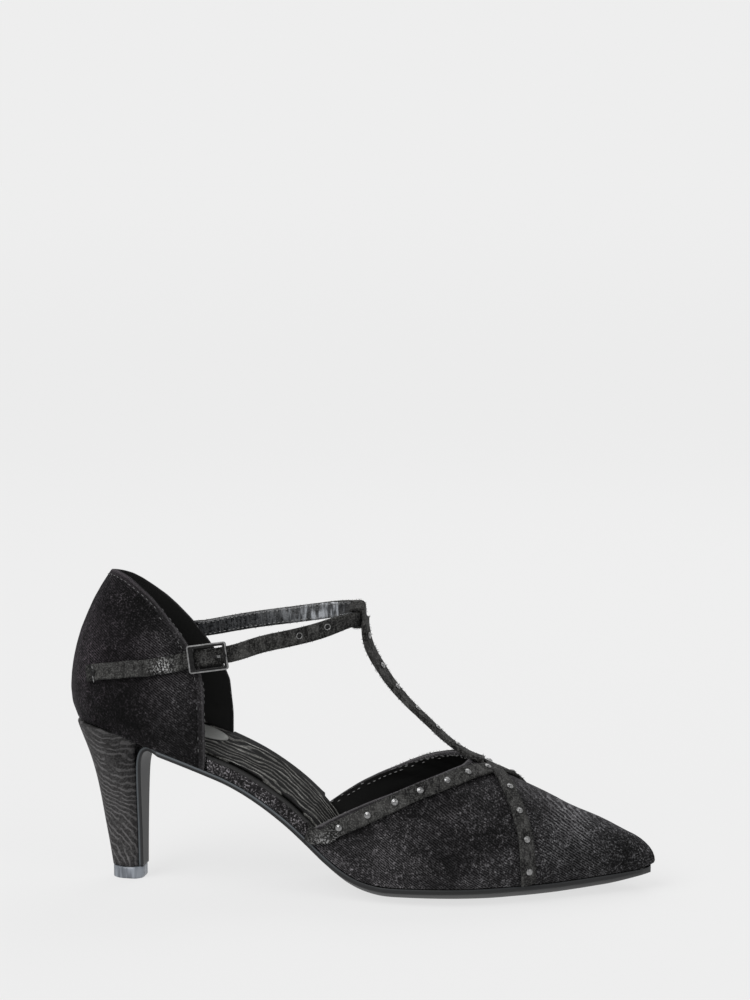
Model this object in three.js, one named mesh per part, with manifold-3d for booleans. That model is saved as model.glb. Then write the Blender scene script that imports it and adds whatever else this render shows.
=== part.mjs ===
// Velvet T-bar shoe with a slim covered heel, right foot, worked out in millimetres.
// X runs from the heel to the toe, Y to the inner side of the foot and Z up.
// The origin is the centre of the heel tip's bottom face, on the floor.

import * as THREE from "three";
import { mergeVertices } from "three/addons/utils/BufferGeometryUtils.js";
import Module from "manifold-3d";

const wasm = await Module();
wasm.setup();

// Driving dimensions of the last
const SHOE_LENGTH = 255;
const HEEL_OVERHANG = 25;
const BALL_WIDTH = 74;
const WAIST_WIDTH = 47;
const SEAT_WIDTH = 51;
const SEAT_HEIGHT = 69;
const TOE_SPRING = 6.4;
const EDGE_CUP = 6;
const HEEL_TURN = THREE.MathUtils.degToRad(5.5);
const ROUND_SEAT_TO = 16;
const ROUND_FROM = 0.42;
const TOE_ROUNDING = 6;
const VAMP_TOE_ROUNDING = 10;

// Places along the shoe as shares of its length from the back
const HEEL_TURN_FADES = { from: 0.333, to: 0.529 };
const HEEL_LINE_FADES = { from: 0.196, to: 0.314 };
const BALL_AT = 0.561;

// Sole, insole board and sock
const OUTSOLE_THICKNESS = 2;
const TIP_THINNING = 1.1;
const TIP_THINS_OVER = 18;
const FLAT_SHARE = 0.5;
const BOARD_THICKNESS = 5.6;
const BOARD_INSIDE = 3;
const BOARD_THINS_OVER = 30;
const BOARD_CUP = 0.8;
const BOARD_SHORT_OF_TIP = 3;
const MEDIAL_RISE = 1.6;
const MEDIAL_RISE_OVER = 25;
const SOCK_THICKNESS = 0.8;
const SOCK_SIDE_GAP = 0.8;
const SOCK_MARGIN = 3.5;
const SOCK_NARROWS_OVER = 14;
const NARROWEST = 0.8;

// Heel
const LIFT_HEIGHT = 5;
const LIFT_LENGTH = 14;
const LIFT_WIDTH = 13;
const LIFT_CHAMFER = 2.6;
const BREAST_HEIGHT = 47;
const BREAST_TOP = 20;
const BEND_FILLED = 0.94;
const BEND_WIDENING = 1.6;
const SEAT_DISH = 1.5;

// Upper
const UPPER_WALL = 1.6;
const UPPER_BULGE = 1.6;
const SLANTED_WALL = 1.25;
const COUNTER_HEIGHT = 65;
const COUNTER_FRONT = 41;
const FRONT_SWEEP = 6.5;
const BACK_LEAN = 19;
const VAMP_BACK = 84;
const THROAT = 150;
const INSTEP_HEIGHT = 50;
const BELLY_HEIGHT = 8;
const RIDGE_SLANT = 1.1;
const TOE_DEPTH = 10;

// Straps, buckle and studs
const STRAP_WIDTH = 7;
const STRAP_THICKNESS = 1.4;
const STRAP_END = 0.7;
const STRAP_LEAVES = 0.08;
const STRAP_ON_CURVE = 1.05;
const CROSSING_FROM = { lateral: 0.054, medial: 0.1 };
const CROSSING_TO = 0.985;
const LOOP_FORWARD = 102;
const LOOP_HEIGHT = 118;
const LOOP_TILT = THREE.MathUtils.degToRad(28);
const LOOP_WIDTH = 6.4;
const LOOP_DEPTH = 4;
const LOOP_WALL = 1.6;
const LOOP_ROUNDING = 2.4;
const SLOT_ROUNDING = 1;
const BAR_THICKNESS = 2.1;
const BAR_OVERLAP = 5;
const BAR_LIFT = 1.25;
const STUD_DIAMETER = 2.6;
const STUD_HEIGHT = 0.7;
const STUD_TOP = 0.6;
const RIVET_DIAMETER = 3;
const RIVET_FROM_END = 4;
const BUCKLE_LENGTH = 17;
const BUCKLE_WIDTH = 12;
const BUCKLE_DEPTH = 1.4;
const BUCKLE_BAR = 1.5;
const BUCKLE_HINGE_BAR = 2.6;
const BUCKLE_CORNER = 1.2;
const BUCKLE_FROM_END = 56;
const PRONG_WIDTH = 1.1;
const PRONG_SHOWS = 3.6;

// Studs: places around the vamp on a crossing strap, and shares of the T-bar's length
const TRIM_STUD_AT = [0.134, 0.183, 0.223, 0.264, 0.316, 0.379, 0.459];
const CROSS_STUD_AT = [0.607, 0.698, 0.796, 0.907];
const BAR_STUD_AT = [0.098, 0.274, 0.409, 0.563, 0.706, 0.842];

// Clearance between pieces that meet
const FIT = 0.3;
const STRAP_FIT = 0.45;

// How finely the pieces are divided
const ACROSS = 8;
const BREAST_STEPS = 7;
const BEND_STEPS = 6;
const WALK_STEPS = 8;
const TIP_STEPS = [3.4, 2, 0.9, 0.2];
const VAMP_SPACING = 1.5;
const COUNTER_SPACING = 1.4;
const HEEL_SPACING = 1.8;
const PROBE = 0.25;
const PROBE_AROUND = 0.002;
const PROBE_RISE = 0.03;
const NEARLY = 0.01;

// Underside of the sole on its centre line, from the back to the toe
const SOLE_ROWS = [
  { at: 0.0, pitch: 1.0, spring: 0, cup: 0.15 },
  { at: 0.06, pitch: 0.977, spring: 0, cup: 0.15 },
  { at: 0.1, pitch: 0.939, spring: 0, cup: 0.15 },
  { at: 0.14, pitch: 0.893, spring: 0, cup: 0.15 },
  { at: 0.18, pitch: 0.843, spring: 0, cup: 0.15 },
  { at: 0.22, pitch: 0.79, spring: 0, cup: 0.15 },
  { at: 0.26, pitch: 0.731, spring: 0, cup: 0.18 },
  { at: 0.3, pitch: 0.665, spring: 0, cup: 0.2 },
  { at: 0.34, pitch: 0.575, spring: 0, cup: 0.22 },
  { at: 0.38, pitch: 0.462, spring: 0, cup: 0.28 },
  { at: 0.42, pitch: 0.32, spring: 0, cup: 0.36 },
  { at: 0.46, pitch: 0.165, spring: 0, cup: 0.55 },
  { at: 0.5, pitch: 0.055, spring: 0, cup: 0.74 },
  { at: 0.54, pitch: 0.009, spring: 0, cup: 0.85 },
  { at: 0.58, pitch: 0, spring: 0, cup: 0.9 },
  { at: 0.66, pitch: 0, spring: 0, cup: 0.97 },
  { at: 0.74, pitch: 0, spring: 0.02, cup: 0.95 },
  { at: 0.82, pitch: 0, spring: 0.14, cup: 0.8 },
  { at: 0.9, pitch: 0, spring: 0.45, cup: 0.6 },
  { at: 1.0, pitch: 0, spring: 1, cup: 0.33 },
];

// Feather line in plan: half widths as shares of the three widths, centre as a share of the ball width
const OUTLINE_ROWS = [
  { at: 0.14, seat: 1.0, waist: 0, ball: 0, centre: -0.013 },
  { at: 0.18, seat: 1.0, waist: 0, ball: 0, centre: -0.026 },
  { at: 0.22, seat: 0.99, waist: 0, ball: 0, centre: -0.039 },
  { at: 0.26, seat: 0.55, waist: 0.455, ball: 0, centre: -0.053 },
  { at: 0.3, seat: 0.2, waist: 0.8, ball: 0, centre: -0.065 },
  { at: 0.34, seat: 0, waist: 1.0, ball: 0, centre: -0.076 },
  { at: 0.38, seat: 0, waist: 1.0, ball: 0, centre: -0.086 },
  { at: 0.42, seat: 0, waist: 0.8, ball: 0.146, centre: -0.094 },
  { at: 0.46, seat: 0, waist: 0.5, ball: 0.385, centre: -0.096 },
  { at: 0.5, seat: 0, waist: 0.2, ball: 0.646, centre: -0.092 },
  { at: 0.54, seat: 0, waist: 0, ball: 0.86, centre: -0.08 },
  { at: 0.58, seat: 0, waist: 0, ball: 0.94, centre: -0.065 },
  { at: 0.66, seat: 0, waist: 0, ball: 1.0, centre: -0.046 },
  { at: 0.74, seat: 0, waist: 0, ball: 0.9, centre: -0.027 },
  { at: 0.82, seat: 0, waist: 0, ball: 0.675, centre: -0.012 },
  { at: 0.9, seat: 0, waist: 0, ball: 0.42, centre: -0.004 },
  { at: 1.0, seat: 0, waist: 0, ball: 0.115, centre: 0 },
];

// Sheet down the breast of the heel, from the lift to its top, as shares of the lift's size
const BREAST_ROWS = [
  { up: 0.0, out: 0.03, half: 0.34 },
  { up: 0.25, out: 0.03, half: 0.38 },
  { up: 0.5, out: 0.03, half: 0.44 },
  { up: 0.75, out: 0.03, half: 0.52 },
  { up: 1.0, out: 0.04, half: 0.62 },
];

// Heel block from the lift to the seat: shares of the way to the seat's back and to its width
const HEEL_ROWS = [
  { up: 0.0, back: 0.02, flare: 0.0 },
  { up: 0.12, back: 0.1, flare: 0.007 },
  { up: 0.3, back: 0.24, flare: 0.04 },
  { up: 0.48, back: 0.37, flare: 0.125 },
  { up: 0.62, back: 0.49, flare: 0.25 },
  { up: 0.75, back: 0.63, flare: 0.42 },
  { up: 0.87, back: 0.78, flare: 0.64 },
  { up: 1.0, back: 0.95, flare: 0.96 },
];

// Counter wall: lean of its back and its half width, by height above the seat
const COUNTER_ROWS = [
  { rise: 0.0, lean: 0.16, width: 1.0 },
  { rise: 0.04, lean: 0.09, width: 1.03 },
  { rise: 0.11, lean: 0.03, width: 1.06 },
  { rise: 0.21, lean: 0.0, width: 1.065 },
  { rise: 0.37, lean: 0.055, width: 1.02 },
  { rise: 0.55, lean: 0.2, width: 0.91 },
  { rise: 0.73, lean: 0.45, width: 0.79 },
  { rise: 0.86, lean: 0.68, width: 0.71 },
  { rise: 0.96, lean: 0.92, width: 0.64 },
  { rise: 1.06, lean: 1.1, width: 0.58 },
];

// Counter's front edge: how far it sweeps back, by height above the seat
const COUNTER_FRONT_ROWS = [
  { rise: 0.0, sweep: 0.1 },
  { rise: 0.1, sweep: 0.0 },
  { rise: 0.22, sweep: 0.0 },
  { rise: 0.35, sweep: 0.08 },
  { rise: 0.48, sweep: 0.16 },
  { rise: 0.6, sweep: 0.38 },
  { rise: 0.68, sweep: 0.6 },
  { rise: 0.8, sweep: 1.0 },
  { rise: 1.06, sweep: 1.9 },
];

// Counter's top line on each side, from the front edge round to the middle of the back
const COUNTER_TOP_ROWS = [
  { around: 0.0, lateral: 0.7, medial: 0.47 },
  { around: 0.035, lateral: 0.765, medial: 0.59 },
  { around: 0.09, lateral: 0.825, medial: 0.695 },
  { around: 0.165, lateral: 0.87, medial: 0.766 },
  { around: 0.25, lateral: 0.913, medial: 0.822 },
  { around: 0.35, lateral: 0.95, medial: 0.86 },
  { around: 0.5, lateral: 0.988, medial: 0.909 },
  { around: 0.64, lateral: 1.004, medial: 0.941 },
  { around: 0.8, lateral: 1.005, medial: 0.967 },
  { around: 1.0, lateral: 0.985, medial: 0.985 },
];

// Vamp sections: ridge height above the widest line, and the height of that line above the feather
const VAMP_ROWS = [
  { at: 0.4, instep: 1.6, toe: 0, belly: 0.8 },
  { at: 0.5, instep: 1.32, toe: 0, belly: 0.85 },
  { at: 0.58, instep: 1.13, toe: 0, belly: 0.85 },
  { at: 0.64, instep: 0.97, toe: 0, belly: 0.85 },
  { at: 0.7, instep: 0.8, toe: 0, belly: 0.8 },
  { at: 0.76, instep: 0.667, toe: 0, belly: 0.75 },
  { at: 0.84, instep: 0.49, toe: 0, belly: 0.65 },
  { at: 0.92, instep: 0.2, toe: 0.6, belly: 0.5 },
  { at: 0.97, instep: 0.05, toe: 0.7, belly: 0.42 },
  { at: 1.0, instep: 0, toe: 0.7, belly: 0.4 },
];

// Top line of the vamp, from the feather up to the throat
const TOPLINE_ROWS = [
  { around: 0.0, at: 0.0 },
  { around: 0.12, at: 0.0 },
  { around: 0.2, at: 0.05 },
  { around: 0.25, at: 0.118 },
  { around: 0.32, at: 0.217 },
  { around: 0.4, at: 0.35 },
  { around: 0.46, at: 0.48 },
  { around: 0.52, at: 0.605 },
  { around: 0.59, at: 0.72 },
  { around: 0.66, at: 0.815 },
  { around: 0.75, at: 0.9 },
  { around: 0.86, at: 0.97 },
  { around: 1.0, at: 1.0 },
];

// Middle of a crossing strap: around the vamp from feather to feather, and how far past the vamp's back
const CROSSING_ROWS = [
  { around: 0.045, at: -0.02 },
  { around: 0.073, at: 0.045 },
  { around: 0.1, at: 0.112 },
  { around: 0.134, at: 0.203 },
  { around: 0.183, at: 0.382 },
  { around: 0.223, at: 0.552 },
  { around: 0.264, at: 0.708 },
  { around: 0.316, at: 0.867 },
  { around: 0.379, at: 0.988 },
  { around: 0.459, at: 1.108 },
  { around: 0.53, at: 1.19 },
  { around: 0.607, at: 1.258 },
  { around: 0.698, at: 1.326 },
  { around: 0.796, at: 1.379 },
  { around: 0.907, at: 1.396 },
  { around: 1.0, at: 1.4 },
];

// Ankle strap on the counter: its height on each side, from the front edge towards the back
const STRAP_ROWS = [
  { around: 0.08, lateral: 0.695, medial: 0.8 },
  { around: 0.21, lateral: 0.628, medial: 0.745 },
  { around: 0.43, lateral: 0.525, medial: 0.65 },
  { around: 0.57, lateral: 0.43, medial: 0.57 },
  { around: 0.7, lateral: 0.35, medial: 0.49 },
];

// Free strands of the ankle strap, from the counter to the loop, as shares of the way
const NEAR_STRAND_ROWS = [
  { toLoop: 0.258, inward: 0.03, rise: 0.19 },
  { toLoop: 0.431, inward: 0.26, rise: 0.414 },
  { toLoop: 0.604, inward: 0.49, rise: 0.55 },
  { toLoop: 0.774, inward: 0.77, rise: 0.71 },
];
const FAR_STRAND_ROWS = [
  { toLoop: 0.14, inward: 0.04, rise: 0.17 },
  { toLoop: 0.33, inward: 0.32, rise: 0.43 },
  { toLoop: 0.535, inward: 0.587, rise: 0.66 },
  { toLoop: 0.733, inward: 0.787, rise: 0.87 },
];

// Bend of the ankle strap inside the loop, as shares of the loop's width
const BEND_ROWS = [
  { across: -0.72, back: 0.72 },
  { across: -0.62, back: 0.3 },
  { across: -0.36, back: 0.05 },
  { across: 0.0, back: 0.0 },
  { across: 0.36, back: 0.05 },
  { across: 0.62, back: 0.3 },
  { across: 0.72, back: 0.72 },
];

// T-bar from the loop to the crossing: shares of its run and drop, and its twist in radians
const BAR_ROWS = [
  { run: 0.0, drop: 0.02, twist: 0.0 },
  { run: -0.01, drop: 0.081, twist: 0.2 },
  { run: 0.024, drop: 0.227, twist: 0.34 },
  { run: 0.118, drop: 0.365, twist: 0.38 },
  { run: 0.203, drop: 0.47, twist: 0.32 },
  { run: 0.289, drop: 0.556, twist: 0.24 },
  { run: 0.377, drop: 0.632, twist: 0.18 },
  { run: 0.462, drop: 0.697, twist: 0.14 },
  { run: 0.548, drop: 0.762, twist: 0.12 },
  { run: 0.635, drop: 0.83, twist: 0.1 },
  { run: 0.721, drop: 0.888, twist: 0.07 },
  { run: 0.809, drop: 0.937, twist: 0.04 },
  { run: 0.9, drop: 0.975, twist: 0.02 },
  { run: 1.0, drop: 1.0, twist: 0.0 },
];

// Smooth curve through one column of a table, without overshoot
function column(rows, key, across = "at") {
  const x = rows.map((row) => row[across]);
  const y = rows.map((row) => row[key]);
  const last = rows.length - 1;
  const slope = [];
  for (let i = 0; i < last; i += 1) {
    slope.push((y[i + 1] - y[i]) / (x[i + 1] - x[i]));
  }
  const tangent = y.map((value, i) => {
    if (i === 0) return slope[0];
    if (i === last) return slope[last - 1];
    if (slope[i - 1] * slope[i] <= 0) return 0;
    return (2 * slope[i - 1] * slope[i]) / (slope[i - 1] + slope[i]);
  });
  return (where) => {
    if (where <= x[0]) return y[0] + tangent[0] * (where - x[0]);
    if (where >= x[last]) return y[last] + tangent[last] * (where - x[last]);
    let i = 0;
    while (where > x[i + 1]) i += 1;
    const span = x[i + 1] - x[i];
    const t = (where - x[i]) / span;
    const rise = t * t * (3 - 2 * t);
    const start = t * (1 - t) * (1 - t) * span * tangent[i];
    const end = t * t * (t - 1) * span * tangent[i + 1];
    return y[i] + (y[i + 1] - y[i]) * rise + start + end;
  };
}

const pitch = column(SOLE_ROWS, "pitch");
const spring = column(SOLE_ROWS, "spring");
const cup = column(SOLE_ROWS, "cup");
const seatShare = column(OUTLINE_ROWS, "seat");
const waistShare = column(OUTLINE_ROWS, "waist");
const ballShare = column(OUTLINE_ROWS, "ball");
const centreShare = column(OUTLINE_ROWS, "centre");
const counterLean = column(COUNTER_ROWS, "lean", "rise");
const counterWidth = column(COUNTER_ROWS, "width", "rise");
const counterSweep = column(COUNTER_FRONT_ROWS, "sweep", "rise");
const lateralTop = column(COUNTER_TOP_ROWS, "lateral", "around");
const medialTop = column(COUNTER_TOP_ROWS, "medial", "around");
const instepShare = column(VAMP_ROWS, "instep");
const toeShare = column(VAMP_ROWS, "toe");
const bellyShare = column(VAMP_ROWS, "belly");
const toplineAt = column(TOPLINE_ROWS, "at", "around");
const crossAt = column(CROSSING_ROWS, "at", "around");
const breastOut = column(BREAST_ROWS, "out", "up");
const breastHalf = column(BREAST_ROWS, "half", "up");
const heelBack = column(HEEL_ROWS, "back", "up");
const heelFlare = column(HEEL_ROWS, "flare", "up");
const strapRise = {
  lateral: column(STRAP_ROWS, "lateral", "around"),
  medial: column(STRAP_ROWS, "medial", "around"),
};

const lerp = THREE.MathUtils.lerp;
const clamp = THREE.MathUtils.clamp;
const smooth = (x, from, to) => THREE.MathUtils.smoothstep(x, from, to);

const BACK = -HEEL_OVERHANG;
const TIP = BACK + SHOE_LENGTH;
const share = (x) => (x - BACK) / SHOE_LENGTH;
const alongShoe = (part) => BACK + part * SHOE_LENGTH;
const slopeOf = (curve, x) => (curve(x + PROBE) - curve(x - PROBE)) / (2 * PROBE);

// A grid of cells, along by across by through, bent into one closed piece
function bent(along, across, through, corner) {
  const grid = new THREE.BoxGeometry(1, 1, 1, along, across, through);
  grid.translate(0.5, 0.5, 0.5);
  const place = grid.attributes.position;
  for (let n = 0; n < place.count; n += 1) {
    const i = Math.round(place.getX(n) * along);
    const j = Math.round(place.getY(n) * across);
    const k = Math.round(place.getZ(n) * through);
    const point = corner(i, j, k);
    place.setXYZ(n, point.x, point.y, point.z);
  }
  return weld(grid);
}

// Shared corners merged, closed cells dropped and faces turned out
function weld(geometry) {
  const bare = geometry.clone();
  bare.deleteAttribute("normal");
  bare.deleteAttribute("uv");
  const merged = mergeVertices(bare, 1e-3);
  const cells = new Map();
  const index = merged.index.array;
  for (let n = 0; n < index.length; n += 3) {
    const cell = [index[n], index[n + 1], index[n + 2]];
    const key = [...cell].sort((a, b) => a - b).join();
    if (new Set(cell).size < 3) continue;
    if (!cells.delete(key)) cells.set(key, cell);
  }
  const kept = [...cells.values()];
  merged.setIndex(kept.flat());
  if (volume(merged) < 0) merged.setIndex(kept.map(([a, b, c]) => [a, c, b]).flat());
  merged.computeVertexNormals();
  return merged;
}

function volume(geometry) {
  const place = geometry.attributes.position;
  const index = geometry.index.array;
  const [a, b, c] = [new THREE.Vector3(), new THREE.Vector3(), new THREE.Vector3()];
  let sum = 0;
  for (let n = 0; n < index.length; n += 3) {
    a.fromBufferAttribute(place, index[n]);
    b.fromBufferAttribute(place, index[n + 1]);
    c.fromBufferAttribute(place, index[n + 2]);
    sum += a.dot(b.cross(c)) / 6;
  }
  return sum;
}

// Boolean joins and cuts
function solid(geometry) {
  const welded = weld(geometry);
  const vertProperties = Float32Array.from(welded.attributes.position.array);
  const triVerts = Uint32Array.from(welded.index.array);
  return new wasm.Manifold(new wasm.Mesh({ numProp: 3, vertProperties, triVerts }));
}

function surface(body) {
  const mesh = body.getMesh();
  const geometry = new THREE.BufferGeometry();
  geometry.setAttribute("position", new THREE.BufferAttribute(Float32Array.from(mesh.vertProperties), 3));
  geometry.setIndex(new THREE.BufferAttribute(Uint32Array.from(mesh.triVerts), 1));
  geometry.computeVertexNormals();
  return geometry;
}

// Plan of the last. Sections stand across a centre line that turns with the heel
const turn = (x) => HEEL_TURN * (1 - smooth(share(x), HEEL_TURN_FADES.from, HEEL_TURN_FADES.to));

function centreLine(x) {
  const heel = -Math.tan(HEEL_TURN) * x;
  const fore = centreShare(share(x)) * BALL_WIDTH;
  return lerp(heel, fore, smooth(share(x), HEEL_LINE_FADES.from, HEEL_LINE_FADES.to));
}

function toeRound(x, tip, length) {
  const past = clamp((x - (tip - length)) / length, 0, 1);
  return Math.sqrt(1 - past * past);
}

function plainHalf(x) {
  const at = share(x);
  return (seatShare(at) * SEAT_WIDTH + waistShare(at) * WAIST_WIDTH + ballShare(at) * BALL_WIDTH) / 2;
}

// Half width of the feather line; grow widens it and moves its ends out
function featherHalf(x, grow = 0) {
  if (x < ROUND_SEAT_TO) {
    const back = BACK + BACK_LEAN * counterLean(0) - grow;
    const past = clamp((ROUND_SEAT_TO - x) / (ROUND_SEAT_TO - back), 0, 1);
    return (SEAT_WIDTH / 2 + grow) * Math.sqrt(1 - past * past);
  }
  return (plainHalf(x) + grow) * toeRound(x, TIP - UPPER_BULGE + grow, TOE_ROUNDING);
}

function place(x, across, z) {
  const angle = turn(x);
  return new THREE.Vector3(x + across * Math.sin(angle), centreLine(x) + across * Math.cos(angle), z);
}

// Underside of the sole, and how much a height grows where the sole is steep
const soleLine = (x) => SEAT_HEIGHT * pitch(share(x)) + TOE_SPRING * spring(share(x));
const steep = (x) => Math.hypot(1, slopeOf(soleLine, x));

function underside(x, side) {
  const past = clamp((Math.abs(side) - FLAT_SHARE) / (1 - FLAT_SHARE), 0, 1);
  return soleLine(x) + EDGE_CUP * cup(share(x)) * past * past;
}

const layer = (x, side, depth) => underside(x, side) + depth * steep(x);
const SEAT_TOP = OUTSOLE_THICKNESS + FIT;
const featherHeight = (x) => layer(x, 1, SEAT_TOP);

function stations(from, to, count) {
  const list = [];
  for (let i = 0; i <= count; i += 1) {
    list.push(lerp(from, to, (1 - Math.cos((Math.PI * i) / count)) / 2));
  }
  return list;
}

function even(from, to, count) {
  return Array.from({ length: count + 1 }, (none, i) => lerp(from, to, i / count));
}

// The layers of the sole share their sections, so that they stay parallel
const SIDE_INSET = UPPER_WALL * SLANTED_WALL + FIT;
const SEAT_BACK = BACK + BACK_LEAN * counterLean(0);
const SOLE_TIP = TIP - UPPER_BULGE;
const WAIST_FROM = COUNTER_FRONT + 2 * FIT;
const WAIST_TO = VAMP_BACK - 2 * FIT;
const SEAT_RUN = stations(SEAT_BACK + SIDE_INSET + NARROWEST / ACROSS, BREAST_TOP, 8);
const SHANK_RUN = [
  ...stations(BREAST_TOP, WAIST_FROM - FIT, 4),
  ...stations(WAIST_FROM, WAIST_TO, 7),
];
const BALL_FROM = alongShoe(BALL_AT);
const FORE_RUN = [
  ...even(WAIST_TO + FIT, BALL_FROM, 7).slice(0, -1),
  ...even(BALL_FROM, SOLE_TIP - SIDE_INSET - BOARD_SHORT_OF_TIP, 9),
];
const TIP_RUN = TIP_STEPS.map((short) => SOLE_TIP - short);

// Places across the sole from -1 to 1: wide cells in the middle and narrow ones on the rising edges
function sideAt(j) {
  const cell = j - ACROSS / 2;
  if (cell === 0) return 0;
  const rising = (Math.abs(cell) - 1) / (ACROSS / 2 - 1);
  return Math.sign(cell) * lerp(FLAT_SHARE, 1, rising);
}

// Centre of the sheet's outer face, its inward direction and its half width
function breastStation(i) {
  const low = new THREE.Vector2(LIFT_LENGTH / 2, LIFT_HEIGHT + FIT);
  const z = lerp(low.y, BREAST_HEIGHT, i / BREAST_STEPS);
  const up = (z - low.y) / (BREAST_HEIGHT - low.y);
  const x = low.x + breastOut(up) * LIFT_LENGTH;
  return { x, z, dx: -1, dz: 0, half: breastHalf(up) * LIFT_WIDTH };
}

function bendStation(i) {
  const start = breastStation(BREAST_STEPS);
  const end = { x: BREAST_TOP, z: soleLine(BREAST_TOP) };
  const corner = { x: start.x, z: end.z - slopeOf(soleLine, BREAST_TOP) * (end.x - start.x) };
  const curve = new THREE.QuadraticBezierCurve(
    ...[start, corner, end].map(({ x, z }) => new THREE.Vector2(x, z)),
  );
  const t = i / BEND_STEPS;
  const point = curve.getPoint(t);
  const tangent = curve.getTangent(t);
  const half = lerp(start.half, featherHalf(BREAST_TOP), t ** BEND_WIDENING);
  return { x: point.x, z: point.y, dx: -tangent.y, dz: tangent.x, half };
}

// Outsole: the sheet under the forefoot and waist, carried down the breast of the heel
function outsole() {
  const run = [...SHANK_RUN, ...FORE_RUN, ...TIP_RUN];
  const before = BREAST_STEPS + BEND_STEPS;
  return bent(before + run.length - 1, ACROSS, 1, (i, j, k) => {
    const side = sideAt(j);
    if (i < before) {
      const at = i < BREAST_STEPS ? breastStation(i) : bendStation(i - BREAST_STEPS);
      const depth = k * OUTSOLE_THICKNESS;
      const fold = smooth(i, BREAST_STEPS, before) * (underside(BREAST_TOP, side) - soleLine(BREAST_TOP));
      const across = side * at.half;
      const x = at.x + at.dx * depth;
      return heelPlace(x / Math.cos(HEEL_TURN), across, at.z + at.dz * depth + fold);
    }
    const x = run[i - before];
    const half = Math.max(featherHalf(x), NARROWEST);
    const thinning = TIP_THINNING * smooth(x, SOLE_TIP - TIP_THINS_OVER, SOLE_TIP);
    return place(x, side * half, layer(x, side, k === 0 ? thinning : OUTSOLE_THICKNESS));
  });
}

// Heel: a tapering block under the seat, its axis turned with the heel of the last
function heelPlace(along, across, z) {
  const x = along * Math.cos(HEEL_TURN) + across * Math.sin(HEEL_TURN);
  const y = across * Math.cos(HEEL_TURN) - along * Math.sin(HEEL_TURN);
  return new THREE.Vector3(x, y, z);
}

// Where the sheet's inner face stands at a height, with the half width of the sheet there
function behindBreast(z) {
  const depth = OUTSOLE_THICKNESS + FIT;
  if (z <= BREAST_HEIGHT) {
    const up = clamp((z - LIFT_HEIGHT - FIT) / (BREAST_HEIGHT - LIFT_HEIGHT - FIT), 0, 1);
    return { x: LIFT_LENGTH / 2 + breastOut(up) * LIFT_LENGTH - depth, half: breastHalf(up) * LIFT_WIDTH };
  }
  let [low, high] = [0, BEND_FILLED];
  while (high - low > PROBE_AROUND / ACROSS) {
    const middle = (low + high) / 2;
    const at = bendStation(middle * BEND_STEPS);
    if (at.z + at.dz * depth < z) low = middle;
    else high = middle;
  }
  const at = bendStation(low * BEND_STEPS);
  return { x: at.x + at.dx * depth - FIT, half: at.half };
}

function heel() {
  const around = 24;
  const levels = 12;
  const grid = new THREE.CylinderGeometry(1, 1, 1, around, levels, false);
  grid.rotateX(Math.PI / 2);
  const spot = grid.attributes.position;
  const bottom = LIFT_HEIGHT + FIT;
  const corner = Math.PI / 2 - (2 * Math.PI) / around;
  for (let n = 0; n < spot.count; n += 1) {
    const up = 1 - (0.5 - spot.getZ(n)) ** HEEL_SPACING;
    const radius = Math.hypot(spot.getX(n), spot.getY(n));
    const angle = Math.atan2(spot.getY(n), spot.getX(n));
    const half = lerp(LIFT_WIDTH, SEAT_WIDTH, heelFlare(up)) / 2;
    const back = lerp(-LIFT_LENGTH / 2, SEAT_BACK, heelBack(up));
    const breast = behindBreast(lerp(bottom, soleLine(BREAST_TOP), up));
    const chamfer = Math.max(half - breast.half, FIT);
    const inFront = Math.abs(angle) < corner + NEARLY;
    const turned = Math.min(Math.cos(angle), 0);
    const along = inFront ? breast.x : breast.x - chamfer + (breast.x - chamfer - back) * turned;
    const across = inFront ? (Math.min(breast.half, half) * angle) / corner : half * Math.sin(angle);
    const x = lerp((breast.x + back) / 2, along, radius);
    const y = across * radius;
    const side = clamp(y / featherHalf(0), -1, 1);
    const top = layer(x, side, OUTSOLE_THICKNESS) - (1 - radius) * SEAT_DISH;
    const point = heelPlace(x, y, lerp(bottom, top, up));
    spot.setXYZ(n, point.x, point.y, point.z);
  }
  return weld(grid);
}

function heelLift() {
  const [x, y] = [LIFT_LENGTH / 2, LIFT_WIDTH / 2];
  const outline = new THREE.Shape();
  outline.moveTo(x, -y + LIFT_CHAMFER);
  outline.lineTo(x, y - LIFT_CHAMFER);
  outline.lineTo(x - LIFT_CHAMFER, y);
  outline.lineTo(0, y);
  outline.absellipse(0, 0, x, y, Math.PI / 2, (3 * Math.PI) / 2, false);
  outline.lineTo(x - LIFT_CHAMFER, -y);
  const block = new THREE.ExtrudeGeometry(outline, {
    depth: LIFT_HEIGHT,
    bevelEnabled: false,
    curveSegments: 12,
  });
  block.rotateZ(-HEEL_TURN);
  return weld(block);
}

// Insole board, wrapped in velvet: full width in the open waist, inside the walls elsewhere
function boardHalf(x) {
  const inWaist = x > COUNTER_FRONT + 1.5 * FIT && x < VAMP_BACK - 1.5 * FIT;
  return Math.max(featherHalf(x, inWaist ? 0 : -SIDE_INSET), NARROWEST);
}

function boardTop(x, side) {
  const thinner = smooth(x, VAMP_BACK, VAMP_BACK + BOARD_THINS_OVER);
  const rises = smooth(x, BREAST_TOP, BREAST_TOP + MEDIAL_RISE_OVER);
  const falls = smooth(x, VAMP_BACK - 4 * FIT, VAMP_BACK - 4 * FIT + MEDIAL_RISE_OVER);
  const tilt = ((side + 1) / 2) * MEDIAL_RISE * rises * (1 - falls);
  return layer(x, side * BOARD_CUP, SEAT_TOP + lerp(BOARD_THICKNESS, BOARD_INSIDE, thinner)) + tilt;
}

const BOARD_RUN = [...SEAT_RUN, ...SHANK_RUN.slice(1), ...FORE_RUN];

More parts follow.
